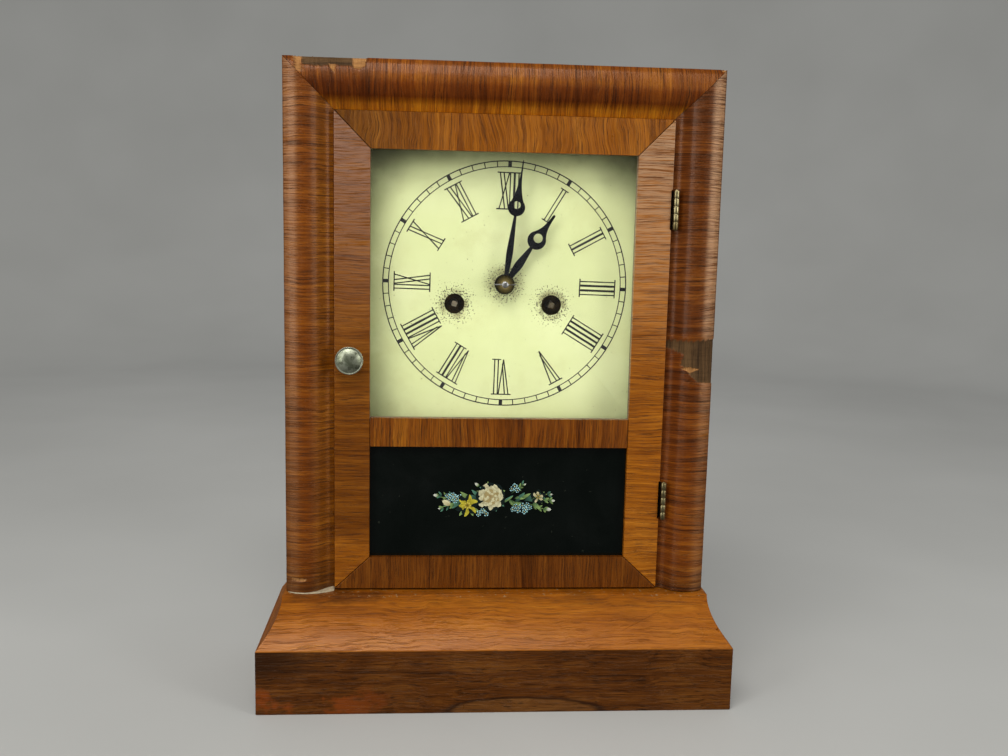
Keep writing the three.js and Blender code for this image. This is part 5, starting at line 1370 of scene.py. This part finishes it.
class Paint:
    """Flowers built from thin overlapping dabs, each a closed lens with its own tints."""

    def __init__(self, seed):
        self.verts, self.faces, self.tints = [], [], []
        self.chance = random.Random(seed)
        self.level = PAINT_LEVEL

    def dab(self, x, z, angle, length, width, foot, tip, belly=0.5, curl=0.0, steps=14):
        """A petal or leaf from its foot at x, z; foot and tip are its colours there."""
        self.level -= LAYER
        start = len(self.verts)
        rim = []
        for i in range(steps):
            t = i / steps * 2
            side, along = (1, t) if t < 1 else (-1, 2 - t)
            full = along ** (math.log(0.5) / math.log(belly))
            shape = math.sin(math.pi * full) ** 0.75 if 0 < along < 1 else 0.0
            across = side * width / 2 * shape * self.chance.uniform(0.9, 1.08) + curl * along * along
            rim.append((length * along, across, along))
        ca, sa = math.cos(angle), math.sin(angle)
        for forward, across, along in rim:
            self.verts.append(P(x + forward * ca - across * sa, self.level, z + forward * sa + across * ca))
            tone = self.chance.uniform(0.82, 1.12)
            self.tints.append(shade(blend(foot, tip, along), tone))
        bend = curl * belly ** 2
        middle_x, middle_z = x + length * belly * ca - bend * sa, z + length * belly * sa + bend * ca
        for depth in (self.level - 0.02, self.level + 0.004):
            self.verts.append(P(middle_x, depth, middle_z))
            self.tints.append(blend(foot, tip, belly))
        for i in range(steps):
            j = (i + 1) % steps
            self.faces.append((start + i, start + j, start + steps))
            self.faces.append((start + j, start + i, start + steps + 1))

    def leaf(self, x, z, degrees, length, width, dark, light):
        angle = math.radians(degrees)
        curl = self.chance.uniform(-0.14, 0.14) * length
        self.dab(x, z, angle, length, width, dark, light, 0.45, curl)
        self.dab(x, z, angle, length * 0.9, width * 0.14, light, shade(light, 1.5), 0.5, curl)

    def ring(self, x, z, count, reach, length, width, foot, tip, turn=0.0, belly=0.62):
        for i in range(count):
            angle = turn + 2 * math.pi * i / count + self.chance.uniform(-0.12, 0.12)
            long, wide = [size * self.chance.uniform(0.9, 1.1) for size in (length, width)]
            self.dab(x + reach * math.cos(angle), z + reach * math.sin(angle), angle,
                     long, wide, foot, tip, belly)

    def small_flower(self, x, z, size, foot, tip, eye):
        self.ring(x, z, 5, 0.1 * size, 0.62 * size, 0.6 * size, foot, tip, self.chance.uniform(0, 1.2))
        self.ring(x, z, 4, 0.0, 0.18 * size, 0.18 * size, eye, eye)

    def leaf_pair(self):
        """The dark foot and the lit tip of a leaf, either yellow-green or blue-green."""
        pair = (GREEN_DEEP, GREEN) if self.chance.random() < 0.6 else (TEAL_DEEP, TEAL)
        tone = self.chance.uniform(0.65, 1.2)
        return [shade(c, tone) for c in pair]


CREAM, CREAM_DEEP = srgb(232, 226, 178), srgb(170, 150, 96)
WHITE, WHITE_DEEP = srgb(230, 230, 210), srgb(120, 132, 108)
YELLOW, YELLOW_DEEP = srgb(232, 218, 60), srgb(150, 136, 14)
BLUE, BLUE_DEEP = srgb(184, 232, 230), srgb(44, 122, 138)
GREEN, GREEN_DEEP = srgb(150, 178, 100), srgb(30, 74, 40)
TEAL, TEAL_DEEP = srgb(96, 150, 120), srgb(14, 52, 44)
NIGHT = srgb(8, 26, 22)
ROSE, NARCISSUS, END_FLOWER = (-4.6, 131.0), (-19.4, 125.4), (25.4, 131.2)
BLUE_CLUSTERS = ((15.5, 123.8, 6.6, 2.9, 10), (-28.4, 130.6, 5.2, 2.6, 8), (10.4, 136.2, 3.4, 1.8, 4),
                 (-9.6, 120.8, 4.4, 1.7, 5))
STEMS = ((-24, 129, -37.6, 131.6, 0.8), (20, 129, 33, 132.5, 1.2), (18, 127, 31, 123.4, -1.0),
         (-24, 127, -36, 123.6, -0.8), (22, 129, 34.2, 128.6, 0.6), (8, 133, 16, 139, 1.0))
BUDS = ((-38.4, 131.8, 2.6), (33.0, 132.6, 1.6), (-36.4, 123.4, 1.5), (31.0, 123.2, 3.0),
        (34.0, 128.6, 2.2), (16.2, 138.8, 1.5), (-13.0, 138.4, 2.4))

spray = Paint(12)
uniform = spray.chance.uniform

for x0, z0, x1, z1, bow in STEMS:
    angle, length = math.atan2(z1 - z0, x1 - x0), math.hypot(x1 - x0, z1 - z0)
    spray.dab(x0, z0, angle, length, 0.55, GREEN_DEEP, GREEN, 0.5, bow)
    for share in (0.35, 0.6, 0.85):
        # small leaves in pairs along each stem
        for side in (-1, 1):
            spray.leaf(x0 + (x1 - x0) * share, z0 + (z1 - z0) * share + bow * share * share,
                       math.degrees(angle) + side * uniform(28, 50), uniform(2.6, 4.2), uniform(0.9, 1.5),
                       *spray.leaf_pair())
for i in range(30):
    # leaves fan out behind the flowers, long ones to the sides and short ones above and below
    side = -1 if i % 2 else 1
    out = uniform(4, 25)
    z = 128.6 + uniform(-2.6, 2.6) * (1 - out / 34)
    lean = uniform(-52, 52)
    spray.leaf(-2.5 + side * out, z, lean if side > 0 else 180 - lean, uniform(6.0, 9.5), uniform(1.5, 2.7),
               *spray.leaf_pair())
for turn in (24, 48, 66, 104, 128, 152, 200, 222, 244, 268, 296, 318, 342):
    # a collar of leaves round the rose
    angle = math.radians(turn)
    spray.leaf(ROSE[0] + 4.6 * math.cos(angle), ROSE[1] + 3.8 * math.sin(angle), turn + uniform(-12, 12),
               uniform(4.8, 6.6), uniform(1.8, 2.7), *spray.leaf_pair())
for turn in (200, 236, 262, 300, 330):
    angle = math.radians(turn)
    spray.leaf(NARCISSUS[0] + 3.5 * math.cos(angle), NARCISSUS[1] + 3.0 * math.sin(angle), turn,
               uniform(4.0, 5.6), 1.9, *spray.leaf_pair())
for x, z, size in BUDS:
    angle = math.atan2(z - 128, x)
    along_x, along_z = size * math.cos(angle), size * math.sin(angle)
    for lean in (-0.5, 0.5):
        spray.dab(x - 0.4 * along_x, z - 0.4 * along_z, angle + lean, size * 0.8, size * 0.35,
                  GREEN_DEEP, GREEN)
    spray.dab(x - 0.3 * along_x, z - 0.3 * along_z, angle, size * 1.3, size * 0.75, WHITE_DEEP, WHITE)
    spray.dab(x, z, angle + 0.3, size * 0.7, size * 0.32, WHITE, shade(WHITE, 1.1), 0.45)
for middle_x, middle_z, spread_x, spread_z, number in BLUE_CLUSTERS:
    for i in range(number):
        turn = 2.4 * i + 0.7
        reach = math.sqrt((i + 0.4) / number)
        x, z = middle_x + spread_x * reach * math.cos(turn), middle_z + spread_z * reach * math.sin(turn)
        size, tone = uniform(2.1, 2.9), uniform(0.85, 1.25)
        spray.ring(x, z, 5, 0.0, size * 0.62, size * 0.7, NIGHT, NIGHT, turn)
        spray.small_flower(x, z, size * 0.92, shade(BLUE_DEEP, tone), shade(BLUE, tone), srgb(240, 230, 150))
# a cream bud with its green cup, and a small cream flower at the right end
for x, z, turn, length, width, foot, tip, belly in (
        (-29.6, 126.0, 158, 6.2, 3.6, CREAM_DEEP, CREAM, 0.5),
        (-29.8, 126.3, 150, 5.4, 1.8, shade(CREAM, 0.8), CREAM, 0.5),
        (-30.4, 125.4, 170, 4.2, 1.3, shade(CREAM_DEEP, 0.9), shade(CREAM, 0.85), 0.5),
        (-27.6, 125.4, 166, 3.4, 2.6, GREEN_DEEP, GREEN, 0.4)):
    spray.dab(x, z, math.radians(turn), length, width, foot, tip, belly)
spray.ring(*END_FLOWER, 5, 0.5, 4.4, 3.4, NIGHT, NIGHT, 0.3)
spray.ring(*END_FLOWER, 5, 0.4, 4.0, 2.8, shade(CREAM_DEEP, 0.8), shade(CREAM, 0.95), 0.3)
spray.ring(*END_FLOWER, 5, 0.2, 1.5, 0.8, srgb(120, 92, 30), YELLOW_DEEP, 0.9)
# the yellow narcissus: six pointed petals behind a short cup
spray.ring(*NARCISSUS, 6, 0.6, 6.8, 4.4, NIGHT, NIGHT, 0.3, 0.5)
spray.ring(*NARCISSUS, 6, 0.6, 6.9, 4.4, shade(YELLOW_DEEP, 0.8), shade(YELLOW, 0.8), 0.3, 0.5)
spray.ring(*NARCISSUS, 6, 0.6, 5.6, 2.4, shade(YELLOW_DEEP, 1.05), shade(YELLOW, 1.05), 0.3, 0.5)
spray.ring(*NARCISSUS, 8, 0.6, 1.9, 1.3, srgb(140, 116, 10), srgb(240, 222, 90), 0.0, 0.6)
spray.ring(*NARCISSUS, 5, 0.0, 0.9, 0.7, srgb(96, 84, 10), srgb(140, 120, 20))
# the rose: rings of cupped petals over a dark rim, each with a shaded foot and a pale lip
spray.ring(*ROSE, 9, 4.2, 5.2, 6.4, NIGHT, NIGHT, 0.2, 0.7)
spray.ring(*ROSE, 7, 0.0, 6.4, 5.6, CREAM_DEEP, CREAM_DEEP, 0.5)
petal_foot = blend(CREAM_DEEP, CREAM, 0.12)
for count, reach, length, width, turn, deep in ((7, 3.8, 5.2, 6.2, 0.2, 0.66), (7, 3.2, 4.5, 5.2, 0.65, 0.76),
                                                (6, 2.5, 4.0, 4.6, 0.1, 0.84), (5, 1.7, 3.4, 4.0, 0.9, 0.9),
                                                (4, 1.0, 2.8, 3.2, 0.3, 0.96), (3, 0.5, 2.1, 2.4, 1.2, 1.0)):
    lip = shade(CREAM, 0.72 + 0.28 * deep)
    spray.ring(*ROSE, count, reach, length, width, shade(petal_foot, deep * 0.8), lip, turn, 0.68)
    spray.ring(*ROSE, count, reach + length * 0.42, length * 0.5, width * 0.62,
               shade(lip, 0.82), shade(lip, 1.08), turn, 0.6)
spray.ring(ROSE[0] - 0.3, ROSE[1] + 0.4, 3, 0.1, 1.2, 1.1, srgb(104, 74, 34), srgb(196, 168, 114), 0.5)

spray_mesh = mesh_from(spray.verts, spray.faces)
tint = spray_mesh.attributes.new("tint", "FLOAT_COLOR", "POINT")
tint.data.foreach_set("color", [c for t in spray.tints for c in (*[min(1.0, v) for v in t], 1.0)])


def flower_paint():
    """The dabs' own tints, worn thin in spots."""
    n = Nodes("flower_paint")
    tints = n.node("ShaderNodeAttribute", attribute_name="tint").outputs["Color"]
    worn = n.noise(None, 500.0, 4.0, 0.7)
    n.set(Base_Color=n.over(tints, srgb(40, 44, 30), n.range(worn, 0.55, 0.72, 0.0, 0.6)), Roughness=0.4)
    n.set(Coat_Weight=0.2, Normal=n.bump(worn, 0.15, 0.00005))
    return n.material


add_object("tablet_flowers", spray_mesh, flower_paint(), "door")
add_object("moulding_foot_filler", wedge, FILLER, "case", 40)

# ------------------------------------------------------------------ stage

LAMP_SPREAD = math.radians(110)  # keeps the lamps off the floor beside them
WORLD_STRENGTH = 0.42
WORLD_GLOSS = 0.06  # keeps dark varnish and black glass deep
LAMPS = (
    ("key", (-0.35, -1.15, 1.75), (0.0, 0.0, 0.25), (1.4, 0.8), 7.8),
    ("left", (-1.2, -1.1, 0.5), (0.0, 0.0, 0.22), (0.45, 1.0), 2.3),
    ("right", (1.2, -1.0, 0.55), (0.0, 0.0, 0.22), (0.45, 1.0), 2.3),
)
FLOOR_RADIUS, SWEEP, WALL_TOP = 1.6, 0.8, 2.6
CAMERA_PLACE = (-0.04366, -0.65821, 0.29772)
CAMERA_YAW, CAMERA_PITCH, CAMERA_ROLL = 0.0726, -0.1431, 0.022
CAMERA_LENS = 36.555


def light_world():
    world = bpy.data.worlds.new("world")
    bpy.context.scene.world = world
    world.use_nodes = True
    nodes, links = world.node_tree.nodes, world.node_tree.links
    background = nodes["Background"]
    background.inputs["Color"].default_value = (*srgb(236, 238, 240), 1.0)
    strength = nodes.new("ShaderNodeMapRange")
    strength.inputs["To Min"].default_value = WORLD_STRENGTH
    strength.inputs["To Max"].default_value = WORLD_GLOSS
    links.new(nodes.new("ShaderNodeLightPath").outputs["Is Glossy Ray"], strength.inputs["Value"])
    links.new(strength.outputs["Result"], background.inputs["Strength"])


def lay_floor():
    """A round floor that sweeps up into a wall on every side."""
    profile = [(FLOOR_RADIUS, 0.0)]
    for i in range(1, 13):
        angle = math.pi / 2 * i / 12
        profile.append((FLOOR_RADIUS + SWEEP * math.sin(angle), SWEEP * (1 - math.cos(angle))))
    profile.append((FLOOR_RADIUS + SWEEP, WALL_TOP))
    count = 96
    verts = [(0.0, 0.0, 0.0)] + [(*spot, height) for radius, height in profile
                                 for spot in circle(0.0, 0.0, radius, count)]
    faces = [(0, 1 + i, 1 + (i + 1) % count) for i in range(count)]
    for r in range(len(profile) - 1):
        for i in range(count):
            j = (i + 1) % count
            inner, outer = 1 + r * count, 1 + (r + 1) * count
            faces.append((inner + i, outer + i, outer + j, inner + j))
    mesh = mesh_from(verts, faces)
    for face in mesh.polygons:
        face.use_smooth = True
    n = Nodes("floor")
    tone = n.ramp(n.noise(None, 3.0), (0.3, srgb(193, 192, 186)), (0.7, srgb(201, 200, 194)))
    n.set(Base_Color=tone, Roughness=0.8)
    mesh.materials.append(n.material)
    floor = linked("floor", mesh)
    floor.visible_diffuse = False
    floor.visible_glossy = False
    floor.visible_shadow = False
    floor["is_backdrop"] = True


def hang_lamp(name, place, aim, size, power):
    data = bpy.data.lights.new(name, "AREA")
    data.shape = "RECTANGLE"
    data.size, data.size_y = size
    data.energy = power
    data.spread = LAMP_SPREAD
    lamp = linked(name, data)
    lamp.location = place
    lamp.rotation_euler = (Vector(aim) - Vector(place)).to_track_quat("-Z", "Y").to_euler()
    lamp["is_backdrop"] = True


def set_camera():
    camera = bpy.data.cameras.new("camera")
    camera.sensor_width = 36.0
    camera.lens = CAMERA_LENS
    camera.clip_start = 0.01
    holder = linked("camera", camera)
    yaw, pitch, roll = CAMERA_YAW, CAMERA_PITCH, CAMERA_ROLL
    ahead = Vector((math.sin(yaw) * math.cos(pitch), math.cos(yaw) * math.cos(pitch), math.sin(pitch)))
    right = Vector((math.cos(yaw), -math.sin(yaw), 0.0))
    up = right.cross(ahead)
    side = right * math.cos(roll) + up * math.sin(roll)
    top = up * math.cos(roll) - right * math.sin(roll)
    matrix = Matrix((side, top, -ahead)).transposed().to_4x4()
    matrix.translation = Vector(CAMERA_PLACE)
    holder.matrix_world = matrix
    bpy.context.scene.camera = holder
    bpy.context.scene.view_settings.view_transform = "Standard"


light_world()
lay_floor()
for lamp_settings in LAMPS:
    hang_lamp(*lamp_settings)
set_camera()

# ------------------------------------------------------------------ record of the size

size = {"cad": CAD_BOX, "finished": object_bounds()}
